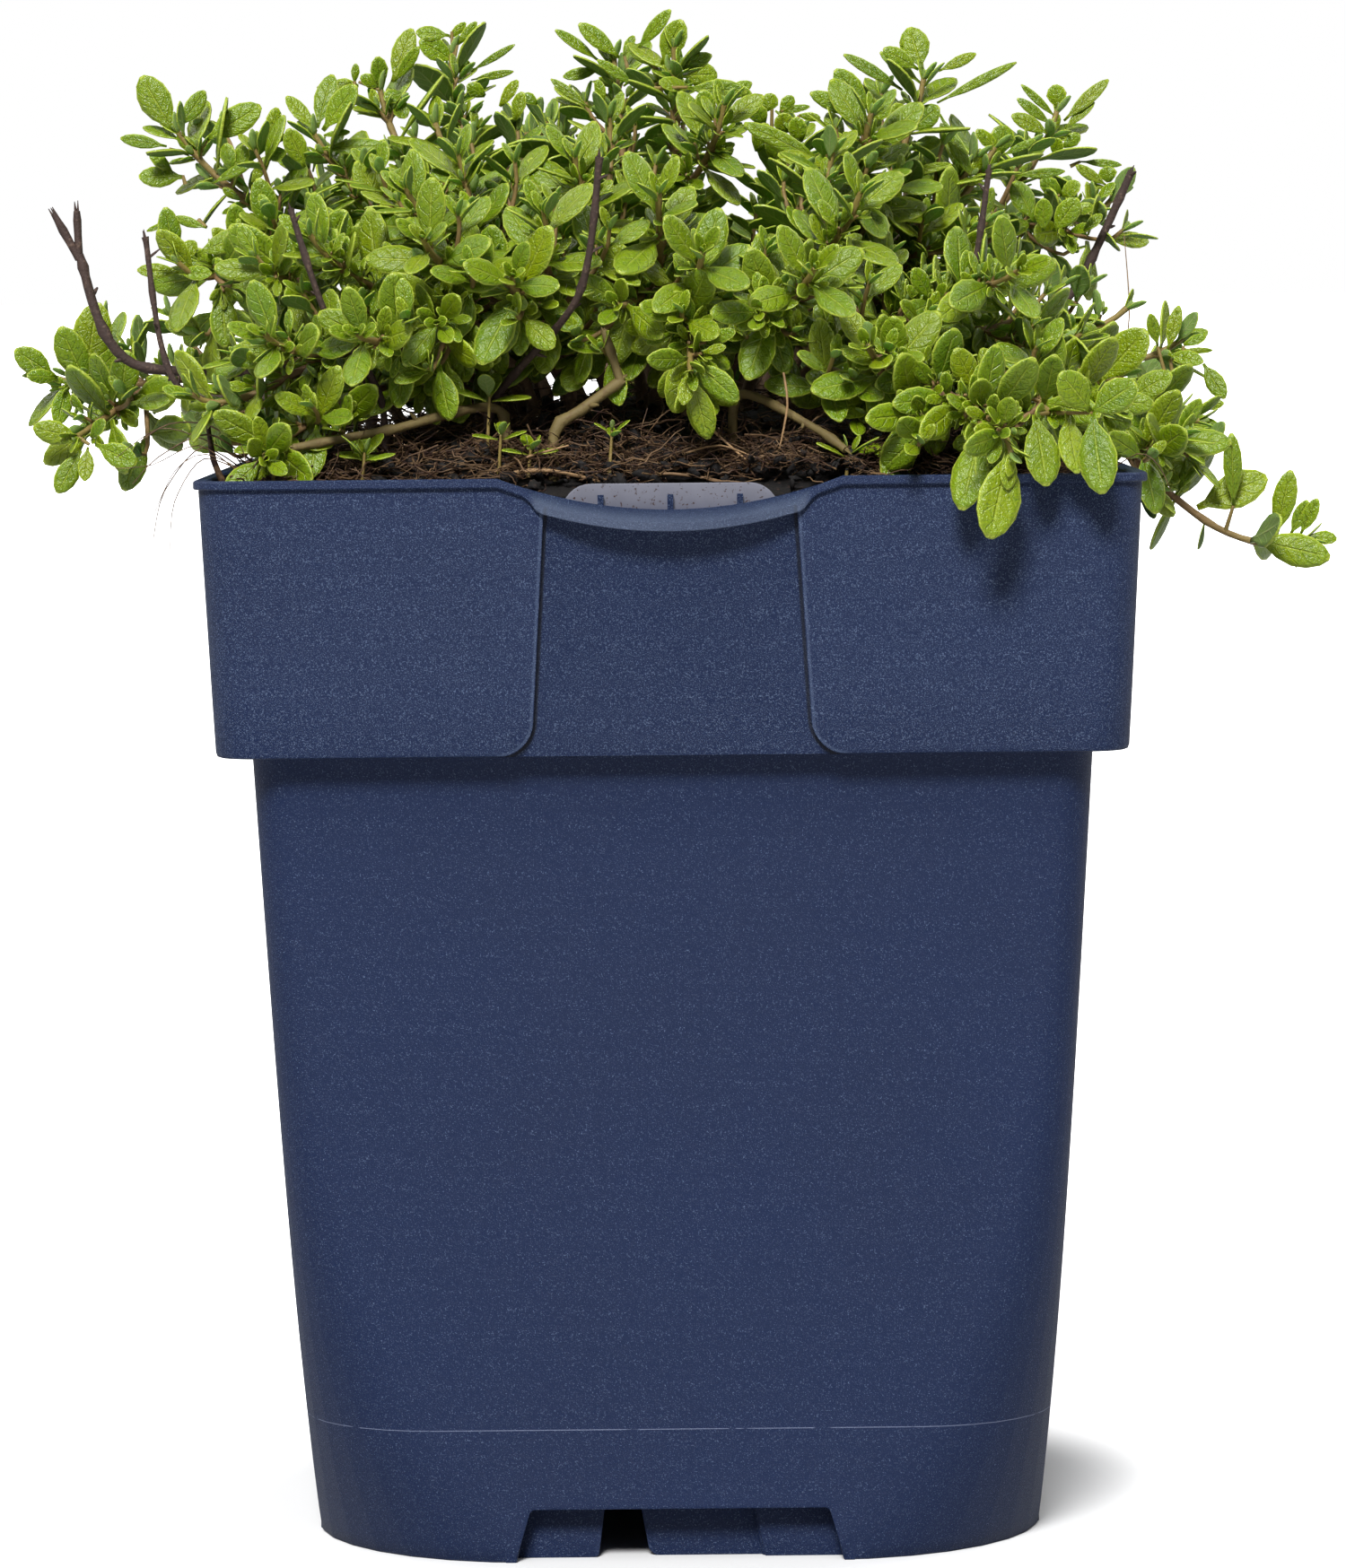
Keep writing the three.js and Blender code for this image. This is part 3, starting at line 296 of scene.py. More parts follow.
            ((50.6, 10, 159.9), (53.3, 10, 160.6), 1.6), ((52.2, 12, 157.5), (54.5, 12, 159.6), 1.5),
        ],
    },
    12: {
        "twigs": [
            ((44, -55, 136), (48.6, -58.4, 136)), ((44, -55, 136), (42, -58.2, 135.9)),
        ],
        "leaves": [
            ((48.6, -58.4, 136), (49.4, -61.5, 127), 4.6), ((42, -58.2, 135.9), (43.3, -61.2, 128), 4.4),
            ((48.4, -58.2, 136), (53.4, -60, 139.4), 4), ((45.8, -56.4, 136), (46.8, -60.6, 129.4), 3.6),
            ((48.4, -58.4, 136.2), (45, -61, 140.6), 4),
        ],
    },
    13: {
        "twigs": [
            ((61.9, 2, 138.5), (60.7, 2, 143)), ((62.6, 2, 139), (62.1, 2, 142.5)),
            ((63.7, 2, 139.9), (63.9, 2, 143.1)),
        ],
        "leaves": [
            ((60.7, 2, 143.1), (59.8, 1, 147.1), 1.8), ((61.9, 2, 142.5), (63.4, 2, 148.1), 1.8),
            ((63.9, 2, 143.2), (66.7, 2, 144.3), 1.4), ((63.6, 2, 142.5), (67.5, 2, 142.5), 0.8),
            ((61.9, 1, 142.1), (66.1, -1, 141.1), 2.1), ((66.1, -1, 140.9), (68.5, -3, 136.7), 2.4),
            ((65.2, -6, 135.7), (68.1, -7, 136.1), 1.4), ((65.2, -8, 134.4), (67.4, -9, 133.2), 1),
            ((52, -18, 139), (57.7, -20, 145.2), 4.8), ((54.7, -22, 136.6), (60.2, -24, 140.1), 3.4),
            ((59.2, -12, 130.7), (65.4, -14, 132.9), 2.9), ((63.1, -10, 127.7), (65, -11, 131.7), 1.9),
        ],
    },
    14: {
        "twigs": [
            ((68, -9.7, 120.4), (68.9, -10.8, 123.6)),
        ],
        "leaves": [
            ((62, -9.4, 125), (65.5, -10.8, 131.8), 2.4), ((64.6, -9.3, 123.4), (73.2, -9, 127), 4.6),
            ((68.9, -10.8, 123.6), (68.7, -12.4, 132.4), 2.4),
            ((74.2, -10.2, 119.9), (75.8, -12, 127.8), 3), ((76, -10, 120), (78, -10.6, 124.2), 1.9),
            ((77.2, -10, 120), (79.2, -11, 124.4), 1.9), ((78.4, -10, 119.8), (81.6, -10.4, 119.4), 1.8),
            ((71.6, -10.2, 119.4), (80.6, -11.8, 117.2), 4.2), ((58.8, -8.7, 128), (62.4, -10, 126.6), 2),
            ((60.3, -9, 126.4), (63.4, -9.6, 128), 1.8),
        ],
    },
    15: {
        "twigs": [],
        "leaves": [
            ((38.9, -61.6, 132), (36.4, -63.6, 121.9), 5.2),
            ((35.9, -58, 134.2), (33.2, -61.4, 125.4), 4.4),
        ],
    },
    19: {
        "twigs": [],
        "leaves": [
            ((2.6, -51.6, 140.6), (4.4, -50.8, 133.2), 3.4),
        ],
    },
}
TOWARDS_LIGHT = Vector((-0.05, -0.75, 0.66))
# Places seen to be empty: from and to in x, and from and to in height.
CLEARINGS = [(-66, -55, 0, 130.5), (54.5, 62, 139.5, 156)]

# Bare woody stems: from the soil to the broken end, with any prongs.
BARE_STEMS = [
    {"name": "bare_stem_forked", "half": 0.7,
     "route": [(-38, -14, 140), (-64.6, -20, 142.3), (-71, -20, 155.5)],
     "prongs": [[(-71, -20, 155), (-74, -20, 160.5)], [(-71, -20, 155), (-71.2, -20, 160.8)]]},
    {"name": "bare_stem_left", "half": 0.42,
     "route": [(-43, -27, 137), (-58.5, -30, 139.7), (-62.2, -30, 157.5)]},
    {"name": "bare_stem_front_left", "half": 0.45,
     "route": [(-34, -38, 138), (-40, -44, 148), (-44, -45, 160.5)]},
    {"name": "bare_stem_tall", "half": 0.5,
     "route": [(-21, -36, 137), (-10.5, -46, 150), (-7.8, -50, 166)]},
    {"name": "bare_stem_cut", "half": 0.75,
     "route": [(-13.5, -43, 134), (-10.5, -42.5, 136.5), (-5.6, -42, 140)],
     "prongs": [[(-5.6, -42, 139.6), (-7.6, -42, 146)]]},
    {"name": "bare_stem_right", "half": 0.45,
     "route": [(31, -27, 137), (36, -30, 151), (38.3, -30, 164.5)]},
    {"name": "bare_stem_far_right", "half": 0.6,
     "route": [(44, 14, 139), (52.3, 15, 152), (58.5, 15, 165)]},
    {"name": "runner_left", "half": 0.6,
     "route": [(-20, -38.5, 136.6), (-33, -44, 134.5), (-44, -46.5, 132.6)]},
    {"name": "runner_right", "half": 0.6,
     "route": [(8, -37, 138), (16.5, -44, 134.6), (20.5, -47.4, 131.8)]},
    {"name": "bare_stem_green", "half": 0.6,
     "route": [(22.5, -39, 138), (19, -41, 141), (16.5, -42.5, 144)]},
]
LIVE_WOOD = ("bare_stem_cut", "bare_stem_green", "runner_left", "runner_right")

# A leaf's rows from its stalk to its tip: share of its length, and share of its half width.
LEAF_ROWS = [(0, 0.15), (0.13, 0.22), (0.32, 0.74), (0.53, 1.0), (0.73, 0.92), (0.9, 0.6), (1, 0.16)]
LEAF_COLUMNS = [-1, -0.6, 0, 0.6, 1]
SMALL_ROWS = [(0, 0.2), (0.3, 0.74), (0.56, 1.0), (0.85, 0.72), (1, 0.2)]
SMALL_COLUMNS = [-1, 0, 1]
LEAF_LENGTH = 10.0
LEAF_THICK = 0.32
# Forms of leaf: width over length, how far its halves fold up, its edges roll under and its tip droops.
LEAF_FORMS = {
    "broad": {"width": 0.55, "fold": 0.12, "roll": 0.16, "droop": 0.1},
    "oval": {"width": 0.46, "fold": 0.2, "roll": 0.12, "droop": 0.16},
    "young": {"width": 0.42, "fold": 0.3, "roll": 0.08, "droop": -0.03},
    "old": {"width": 0.5, "fold": 0.05, "roll": 0.3, "droop": 0.3},
    "small": {"width": 0.46, "fold": 0.22, "roll": 0.0, "droop": 0.0},
}


def srgb(red, green, blue):
    """A colour in screen values, 0 to 255, as linear values."""
    shares = [value / 255 for value in (red, green, blue)]
    return tuple(s / 12.92 if s <= 0.04045 else ((s + 0.055) / 1.055) ** 2.4 for s in shares)


def opaque(colour, factor=1.0):
    """A shader's colour from a setting's, made darker or lighter by a factor."""
    return (*(factor * share for share in colour), 1.0)


def paint(red, green, blue):
    """A shader's colour from screen values."""
    return opaque(srgb(red, green, blue))


# ---- Settings -----------------------------------------------------------------------------------


def colour_property(name, description, colour):
    return FloatVectorProperty(
        name=name, description=description, subtype="COLOR", size=3, min=0, max=1, default=colour
    )


class PotSettings(bpy.types.PropertyGroup):
    """The moulded pot."""

    plastic: colour_property("Plastic", "Colour of the moulded plastic", srgb(3, 30, 72))
    # Painted highlight colour: the grain's specks and the recess edges' glint line are lightened with it.
    grain_glint: colour_property("Specks", "Colour of the glints in the plastic's grain", srgb(110, 128, 160))
    # The tongue's pale colour: partly dust and water marks, partly painted light from above on the same plastic
    # as the pot.
    dusty_lit: colour_property("Dusty plastic", "Colour of the water-marked label tongue", srgb(154, 155, 169))
    grain: FloatProperty(
        name="Grain", description="Size of the spark grain on the collar", default=0.15 * MM, unit="LENGTH"
    )


class BushSettings(bpy.types.PropertyGroup):
    """The leafy shoots."""

    young: colour_property("Young leaf", "Colour of the leaves at the tips", srgb(132, 157, 6))
    grown: colour_property("Grown leaf", "Colour of the oldest leaves", srgb(32, 76, 10))
    underside: colour_property("Leaf underside", "Colour of the backs of the leaves", srgb(128, 152, 80))
    wood: colour_property("Woody stem", "Colour of the lower stems", srgb(112, 88, 66))
    fresh: colour_property("Young stem", "Colour of the stems near their tips", srgb(140, 122, 62))
    seed: IntProperty(name="Seed", description="Start of the random draws", default=7, min=0)
    tufts: FloatProperty(
        name="Tufts", description="Share of the leaves with young leaves above their stalk",
        default=0.75, min=0, max=1, subtype="FACTOR",
    )


class GroundSettings(bpy.types.PropertyGroup):
    """The peat and what lies on it."""

    peat: colour_property("Peat", "Colour of the damp peat", srgb(21, 17, 16))
    dry: colour_property("Dry peat", "Colour of its dry fibres and lumps", srgb(88, 60, 44))
    root: colour_property("Roots", "Colour of roots and straws", srgb(172, 136, 94))
    crumbs: IntProperty(name="Crumbs", description="Loose lumps of peat", default=1700, min=0)
    fibres: IntProperty(name="Fibres", description="Roots and straws on the peat", default=3000, min=0)


class StageSettings(bpy.types.PropertyGroup):
    """Camera, lights and floor."""

    distance: FloatProperty(
        name="Distance", description="From the camera to the pot's middle", default=0.8, unit="LENGTH"
    )
    height: FloatProperty(name="Height", description="Height of the camera", default=0.15, unit="LENGTH")
    tilt: FloatProperty(
        name="Tilt", description="How far the camera looks down", default=math.radians(4.34), subtype="ANGLE"
    )
    roll: FloatProperty(
        name="Roll", description="Turn of the camera about its own line", default=math.radians(-0.55),
        subtype="ANGLE",
    )
    lens: FloatProperty(name="Lens", description="Focal length on a 36 mm sensor", default=172.4, min=1)
    floor: colour_property("Floor", "Colour of the studio floor", srgb(246, 246, 246))


# ---- Modelling helpers --------------------------------------------------------------------------


def mm(*values):
    return Vector(values) * MM


def deselect():
    if bpy.context.mode != "OBJECT":
        bpy.ops.object.mode_set(mode="OBJECT")
    bpy.ops.object.select_all(action="DESELECT")


def only(*pieces):
    deselect()
    for piece in pieces:
        piece.select_set(True)
    bpy.context.view_layer.objects.active = pieces[0]


def joined(pieces, name):
    only(*pieces)
    bpy.ops.object.join()
    piece = bpy.context.object
    piece.name = name
    piece.data.name = name
    return piece


def settle(piece):
    """Writes the piece's place into its mesh."""
    only(piece)
    bpy.ops.object.transform_apply(location=True, rotation=True, scale=True)


def turn(piece, degrees):
    piece.rotation_euler.z = math.radians(degrees)
    settle(piece)


def pick(piece, kind, test):
    """In edit mode, selects only the vertices, edges or faces that pass a test."""
    bpy.ops.mesh.select_mode(type=kind)
    bpy.ops.mesh.select_all(action="DESELECT")
    shape = bmesh.from_edit_mesh(piece.data)
    elements = {"VERT": shape.verts, "EDGE": shape.edges, "FACE": shape.faces}[kind]
    for element in elements:
        if test(element):
            element.select_set(True)
    shape.select_flush_mode()
    bmesh.update_edit_mesh(piece.data)


def apply_modifier(piece, kind, **settings):
    only(piece)
    modifier = piece.modifiers.new(kind.title(), kind)
    for name, value in settings.items():
        setattr(modifier, name, value)
    bpy.ops.object.modifier_apply(modifier=modifier.name)


def soften(piece, width, degrees):
    """Rounds a piece's edges that are sharper than an angle."""
    limit = math.radians(degrees)
    apply_modifier(piece, "BEVEL", width=width * MM, segments=2, limit_method="ANGLE", angle_limit=limit)


def cut(piece, cutter):
    """Cuts one shape out of another, and deletes it."""
    apply_modifier(piece, "BOOLEAN", operation="DIFFERENCE", solver="EXACT", object=cutter)
    only(cutter)
    bpy.ops.object.delete()


def give(piece, *materials):
    piece.data.materials.clear()
    for material in materials:
        piece.data.materials.append(material)


def finish_piece(piece, slot, *nodes):
    """Hands a finished piece to the frame."""
    settle(piece)
    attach(piece, "root")
    if nodes:
        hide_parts(*nodes)


def ring_shell(name, rings, segments=8):
    """A closed shell through a chain of round-cornered square rings: half width, corner radius, height."""
    deselect()
    bpy.ops.mesh.primitive_plane_add(size=MM)
    shell = bpy.context.object
    shell.name = name
    bpy.ops.object.mode_set(mode="EDIT")
    bpy.ops.mesh.delete(type="VERT")
    bmesh.from_edit_mesh(shell.data).verts.layers.int.new("ring")
    for number, (half, corner, _) in enumerate(rings, 1):
        bpy.ops.mesh.select_all(action="DESELECT")
        # The rings stand apart while they are bridged, since bridges between level rings can twist.
        bpy.ops.mesh.primitive_plane_add(size=2 * half * MM, location=mm(0, 0, 20 * number))
        bpy.ops.mesh.bevel(offset=corner * MM, segments=segments, affect="VERTICES")
        shape = bmesh.from_edit_mesh(shell.data)
        layer = shape.verts.layers.int["ring"]
        for vertex in shape.verts:
            if vertex[layer] == 0:
                vertex[layer] = number
        bmesh.update_edit_mesh(shell.data)
        pick(shell, "VERT", lambda v: v[layer] == number)
        bpy.ops.mesh.delete(type="ONLY_FACE")

    def pick_rings(*wanted):
        layer = bmesh.from_edit_mesh(shell.data).verts.layers.int["ring"]
        pick(shell, "EDGE", lambda e: e.verts[0][layer] == e.verts[1][layer] in wanted)

    for number in range(1, len(rings)):
        pick_rings(number, number + 1)
        bpy.ops.mesh.bridge_edge_loops()
    for number in (1, len(rings)):
        pick_rings(number)
        bpy.ops.mesh.edge_face_add()
    bpy.ops.object.mode_set(mode="OBJECT")
    for vertex, mark in zip(shell.data.vertices, shell.data.attributes["ring"].data):
        vertex.co.z = rings[mark.value - 1][2] * MM
    bpy.ops.object.mode_set(mode="EDIT")
    bpy.ops.mesh.select_all(action="SELECT")
    bpy.ops.mesh.normals_make_consistent(inside=False)
    bpy.ops.object.mode_set(mode="OBJECT")
    return shell


def plate(name, outline, near, far, rounds=(), lean=0.0):
    """A flat outline in X and Z, its listed corners rounded, given thickness from y = -near to y = -far."""
    deselect()
    bpy.ops.mesh.primitive_circle_add(vertices=len(outline), radius=MM, fill_type="NGON")
    piece = bpy.context.object
    piece.name = name
    for vertex, (x, z) in zip(piece.data.vertices, outline):
        vertex.co = mm(x, -near, z)
    bpy.ops.object.mode_set(mode="EDIT")
    for x, z, radius in rounds:
        spot = mm(x, -near, z)
        pick(piece, "VERT", lambda v: (v.co - spot).length < 0.01 * MM)
        bpy.ops.mesh.bevel(offset=radius * MM, segments=8, affect="VERTICES")
    bpy.ops.mesh.select_all(action="SELECT")
    bpy.ops.mesh.extrude_region_move(TRANSFORM_OT_translate={"value": mm(0, near - far, 0)})
    bpy.ops.mesh.select_all(action="SELECT")
    bpy.ops.mesh.normals_make_consistent(inside=False)
    bpy.ops.object.mode_set(mode="OBJECT")
    for vertex in piece.data.vertices:
        vertex.co.y -= lean * (vertex.co.z - COLLAR["bottom"] * MM)
    return piece


def tube(name, points, radii, sides=6):
    """A round stem through points, closed at its ends."""
    deselect()
    bpy.ops.curve.primitive_nurbs_path_add()
    path = bpy.context.object
    path.name = name
    curve = path.data
    curve.splines.clear()
    spline = curve.splines.new("POLY")
    spline.points.add(len(points) - 1)
    for point, place, radius in zip(spline.points, points, radii):
        point.co = (*(place * MM), 1)
        point.radius = radius
    curve.bevel_depth = MM
    curve.bevel_resolution = (sides - 4) // 2
    curve.use_fill_caps = True
    bpy.ops.object.convert(target="MESH")
    piece = bpy.context.object
    bpy.ops.object.shade_smooth()
    return piece


def tag(mesh, name, values):
    """Gives a mesh one number a vertex, for its material."""
    attribute = mesh.attributes.get(name) or mesh.attributes.new(name, "FLOAT", "POINT")
    attribute.data.foreach_set("value", values)


def copy_of(model, matrix, **marks):
    """A copy with its own mesh, set in place, with its marks for the material."""
    mesh = model.data.copy()
    mesh.transform(matrix)
    for name, value in marks.items():
        tag(mesh, name, [value] * len(mesh.vertices))
    piece = bpy.data.objects.new(model.name, mesh)
    bpy.context.collection.objects.link(piece)
    return piece


def discard(*models):
    only(*models)
    bpy.ops.object.delete()


# ---- Materials ----------------------------------------------------------------------------------


class Graph:
    """A shader's node tree, written one node at a time."""

    def __init__(self, tree):
        self.tree = tree

    def fill(self, node, inputs):
        """Links a node's sockets, or sets them where they are given a plain value."""
        for socket, value in inputs.items():
            if isinstance(value, bpy.types.NodeSocket):
                self.tree.links.new(value, node.inputs[socket])
            else:
                node.inputs[socket].default_value = value

    def add(self, kind, inputs=(), **settings):
        node = self.tree.nodes.new(kind if kind.startswith("Node") else "ShaderNode" + kind)
        for name, value in settings.items():
            setattr(node, name, value)
        self.fill(node, dict(inputs))
        return node

    def math(self, operation, a, b=0.0, c=0.0):
        return self.add("Math", {0: a, 1: b, 2: c}, operation=operation).outputs[0]

    def times(self, a, b):
        return self.math("MULTIPLY", a, b)

    def step(self, value, low, high):
        """0 below low and 1 above high, or the other way round where low is the higher."""
        inputs = {"Value": value, "From Min": low, "From Max": high}
        return self.add("MapRange", inputs, interpolation_type="SMOOTHSTEP").outputs["Result"]

    def mix(self, share, a, b):
        return self.add("Mix", {0: share, 6: a, 7: b}, data_type="RGBA").outputs[2]

    def noise(self, scale, detail):
        place = self.add("TexCoord").outputs["Object"]
        return self.add("TexNoise", {"Scale": scale, "Detail": detail, "Vector": place}).outputs["Fac"]

    def attribute(self, name):
        return self.add("Attribute", attribute_name=name).outputs["Fac"]

    def axis(self, name):
        place = self.add("TexCoord").outputs["Object"]
        return self.add("SeparateXYZ", {0: place}).outputs[name]

    def filled(self, tree, inputs):
        """A node group's outputs, from its inputs."""
        return self.add("Group", inputs, node_tree=tree).outputs


def new_group(name, inputs, outputs):
    """An empty node group and its graph, with its inputs' and outputs' nodes."""
    tree = bpy.data.node_groups.new(name, "ShaderNodeTree")
    for label, default in inputs:
        socket = tree.interface.new_socket(label, in_out="INPUT", socket_type="NodeSocketFloat")
        socket.default_value = default
    for label in outputs:
        tree.interface.new_socket(label, in_out="OUTPUT", socket_type="NodeSocketFloat")
    graph = Graph(tree)
    return graph, graph.add("NodeGroupInput").outputs, graph.add("NodeGroupOutput")


def grain_group():
    """Fine specks and relief: moulded grain, dust, bark and crumbs, by their scale and coverage."""
    name = "Grain"
    if name in bpy.data.node_groups:
        return bpy.data.node_groups[name]
    graph, given, out = new_group(name, [("Scale", 3000.0), ("Coverage", 0.3)], ["Specks", "Relief"])
    coarse = graph.noise(given["Scale"], 2.0)
    fine = graph.noise(graph.times(given["Scale"], 2.3), 1.0)
    relief = graph.math("ADD", graph.times(coarse, 0.6), graph.times(fine, 0.4))
    edge = graph.math("SUBTRACT", 0.68, graph.times(given["Coverage"], 0.3))
    specks = graph.step(graph.math("SUBTRACT", relief, edge), 0.0, 0.1)
    graph.fill(out, {"Specks": specks, "Relief": relief})
    return graph.tree


def leaf_group():
    """A leaf's markings along its own map: midrib, side veins and margin, and their relief."""
    name = "Leaf marks"
    if name in bpy.data.node_groups:
        return bpy.data.node_groups[name]
    labels = ["Midrib", "Side veins", "Margin", "Blush", "Relief"]
    graph, given, out = new_group(name, [("Veins", 5.0)], labels)
    flat = graph.add("SeparateXYZ", {0: graph.add("UVMap").outputs["UV"]}).outputs
    across = graph.math("ABSOLUTE", graph.math("MULTIPLY_ADD", flat["X"], 2.0, -1.0))
    midrib = graph.times(graph.step(across, 0.09, 0.02), graph.step(flat["Y"], 0.98, 0.7))
    slant = graph.math("SUBTRACT", graph.times(flat["Y"], given["Veins"]), graph.times(across, 1.3))
    wave = graph.math("PINGPONG", slant, 0.5)
    veins = graph.times(graph.step(wave, 0.1, 0.0), graph.step(across, 0.95, 0.6))
    margin = graph.math("MAXIMUM", graph.step(across, 0.82, 0.97), graph.step(flat["Y"], 0.94, 0.99))
    blush = graph.math("MAXIMUM", graph.step(across, 0.3, 0.9), graph.step(flat["Y"], 0.5, 1.0))
    relief = graph.math("SUBTRACT", graph.times(veins, -0.5), midrib)
    graph.fill(out, dict(zip(labels, (midrib, veins, margin, blush, relief))))
    return graph.tree


def surface(name, build):
    """A material with one Principled shader, which build fills in, made once."""
    if name in bpy.data.materials:
        return bpy.data.materials[name]
    material = bpy.data.materials.new(name)
    material.use_nodes = True
    graph = Graph(material.node_tree)
    build(graph, material.node_tree.nodes["Principled BSDF"])
    return material


def dress(graph, shader, sockets, height=None, strength=0.3, distance=0.1):
    """Fills a shader's sockets, and bumps it where a height is given, by a distance in millimetres."""
    if height is not None:
        inputs = {"Height": height, "Strength": strength, "Distance": distance * MM}
        sockets = {**sockets, "Normal": graph.add("Bump", inputs).outputs[0]}
    graph.fill(shader, sockets)


def recess_edge(graph):
    """Distance from the edge of the collar's recess: above 0 in it, below 0 on the panels beside it."""
    top, corner = dip_top(PANEL["half_top"]) - lip_tall(PANEL["half_top"]), PANEL["round"] * MM
    slope = (PANEL["half_bottom"] - PANEL["half_top"]) / (top - COLLAR["bottom"])
    up = graph.math("SUBTRACT", graph.axis("Z"), COLLAR["bottom"] * MM)
    half = graph.math("MULTIPLY_ADD", up, -slope, PANEL["half_bottom"] * MM)
    beside = graph.math("SUBTRACT", graph.math("ABSOLUTE", graph.axis("X")), half)
    across = graph.math("MAXIMUM", graph.math("SUBTRACT", corner, beside))
    down = graph.math("MAXIMUM", graph.math("SUBTRACT", corner, up))
    squares = graph.math("MULTIPLY_ADD", across, across, graph.times(down, down))
    return graph.math("SUBTRACT", graph.math("SQRT", squares), corner)


def moulded_plastic():
    pot = bpy.context.scene.thyme_pot

    def build(graph, shader):
        height = graph.axis("Z")
        on_collar = graph.step(height, (COLLAR["bottom"] - 0.2) * MM, COLLAR["bottom"] * MM)
        collar = graph.filled(grain_group(), {"Scale": 1 / pot.grain, "Coverage": 0.5})
        body = graph.filled(grain_group(), {"Scale": 0.9 / pot.grain, "Coverage": 0.38})
        specks = graph.add("Mix", {0: on_collar, 2: body["Specks"], 3: collar["Specks"]})
        mottle = graph.noise(38.0, 3.0)
        base = graph.mix(mottle, opaque(pot.plastic, 0.88), opaque(pot.plastic, 1.1))
        # Painted highlights: the moulded grain picks the specks, and their light colour stands in for glints of
        # light on it.
        glint_speckled = graph.mix(graph.times(specks.outputs[0], 0.72), base, opaque(pot.grain_glint))
        edge = recess_edge(graph)
        ends = graph.step(graph.math("ABSOLUTE", graph.axis("Y")), 50 * MM, 50.5 * MM)
        on_face = graph.times(graph.times(on_collar, ends), graph.step(height, 126 * MM, 125.4 * MM))
        shadow = graph.times(graph.step(edge, -0.04 * MM, 0.08 * MM), graph.step(edge, 0.55 * MM, 0.3 * MM))
        shadow = graph.times(graph.times(shadow, on_face), 0.8)
        glint = graph.times(graph.step(edge, -0.5 * MM, -0.3 * MM), graph.step(edge, -0.04 * MM, -0.14 * MM))
        within = graph.step(graph.math("ABSOLUTE", graph.axis("X")), 21 * MM, 20 * MM)
        glint = graph.times(graph.times(graph.times(glint, within), on_face), 0.22)
        shaded = graph.mix(shadow, glint_speckled, opaque(pot.plastic, 0.15))
        edged = graph.mix(glint, shaded, opaque(pot.grain_glint))
        # Painted highlight: the mould's parting line, lightened in a thin broken line where light catches its
        # step.
        off = graph.math("ABSOLUTE", graph.math("SUBTRACT", height, PARTING_Z * MM))
        broken = graph.step(graph.noise(300.0, 3.0), 0.36, 0.44)
        line = graph.times(graph.step(off, 0.07 * MM, 0.02 * MM), broken)
        parting_highlighted = graph.mix(graph.times(line, 0.6), edged, paint(150, 160, 190))
        # Painted sheen: the scoop's lip is lightened, in patches by the mottle, where it faces the light from
        # above.
        handled = graph.times(graph.attribute("handled"), graph.step(mottle, 0.1, 0.5))
        colour = graph.mix(graph.times(handled, 0.44), parting_highlighted, paint(104, 116, 138))
        relief = graph.add("Mix", {0: on_collar, 2: body["Relief"], 3: collar["Relief"]})
        rough = graph.math("MULTIPLY_ADD", mottle, 0.12, 0.42)
        sockets = {"Base Color": colour, "Roughness": rough, "Specular IOR Level": 0.4}
        dress(graph, shader, sockets, relief.outputs[0], 1.0, 0.2)

    return surface("moulded_plastic", build)


def dusty_lit_plastic():
    pot = bpy.context.scene.thyme_pot

    def build(graph, shader):
        streaks = graph.noise(420.0, 4.0)
        soil = graph.filled(grain_group(), {"Scale": 1700.0, "Coverage": 0.34})
        # From 122 to 128 mm up, the tongue turns from the plastic's colour to its pale one, which is partly
        # dust and water marks and partly painted light from above.
        high = graph.step(graph.axis("Z"), 122 * MM, 128 * MM)
        bare = graph.mix(streaks, opaque(pot.dusty_lit, 0.7), opaque(pot.dusty_lit))
        pale_above = graph.mix(high, opaque(pot.plastic), bare)
        colour = graph.mix(soil["Specks"], pale_above, paint(70, 44, 32))
        dress(graph, shader, {"Base Color": colour, "Roughness": 0.5}, streaks, 0.2, 0.05)

    return surface("dusty_lit_plastic", build)


def leaf_colours(graph, bush, marks, pits):
    """The leaf's green, from its age and its own tint, dark in its pits, and the light lines on it."""
    age = graph.attribute("age")
    green = graph.mix(age, opaque(bush.young), opaque(bush.grown))
    patches = graph.noise(330.0, 3.0)
    cooler = graph.mix(0.35, green, paint(60, 110, 30))
    mottled = graph.mix(graph.step(patches, 0.4, 0.75), green, cooler)
    yellowed = graph.mix(graph.attribute("tint"), mottled, opaque([1.3 * bush.young[0], *bush.young[1:]]))
    pitted = graph.mix(graph.times(pits["Specks"], 0.5), yellowed, paint(42, 84, 12))
    blushed = graph.mix(graph.times(marks["Blush"], 0.24), pitted, paint(146, 176, 40))
    rib = graph.times(marks["Midrib"], 0.4)
    light = graph.math("MAXIMUM", rib, graph.times(marks["Margin"], 0.85))
    light = graph.math("MAXIMUM", light, graph.times(marks["Side veins"], 0.1))
    return graph.mix(light, blushed, paint(186, 202, 74))


def leaf_top():
    bush = bpy.context.scene.thyme_bush

    def build(graph, shader):
        marks = graph.filled(leaf_group(), {"Veins": 5.0})
        pits = graph.filled(grain_group(), {"Scale": 2300.0, "Coverage": 0.5})
        colour = leaf_colours(graph, bush, marks, pits)
        height = graph.math("SUBTRACT", graph.times(marks["Relief"], 0.6), pits["Relief"])
        sockets = {
            "Base Color": colour, "Roughness": 0.3, "Specular IOR Level": 0.55,
            "Subsurface Weight": 0.14, "Subsurface Radius": (0.6, 1.0, 0.2), "Subsurface Scale": 0.5 * MM,
        }
        dress(graph, shader, sockets, height, 0.9, 0.3)

    return surface("leaf_top", build)


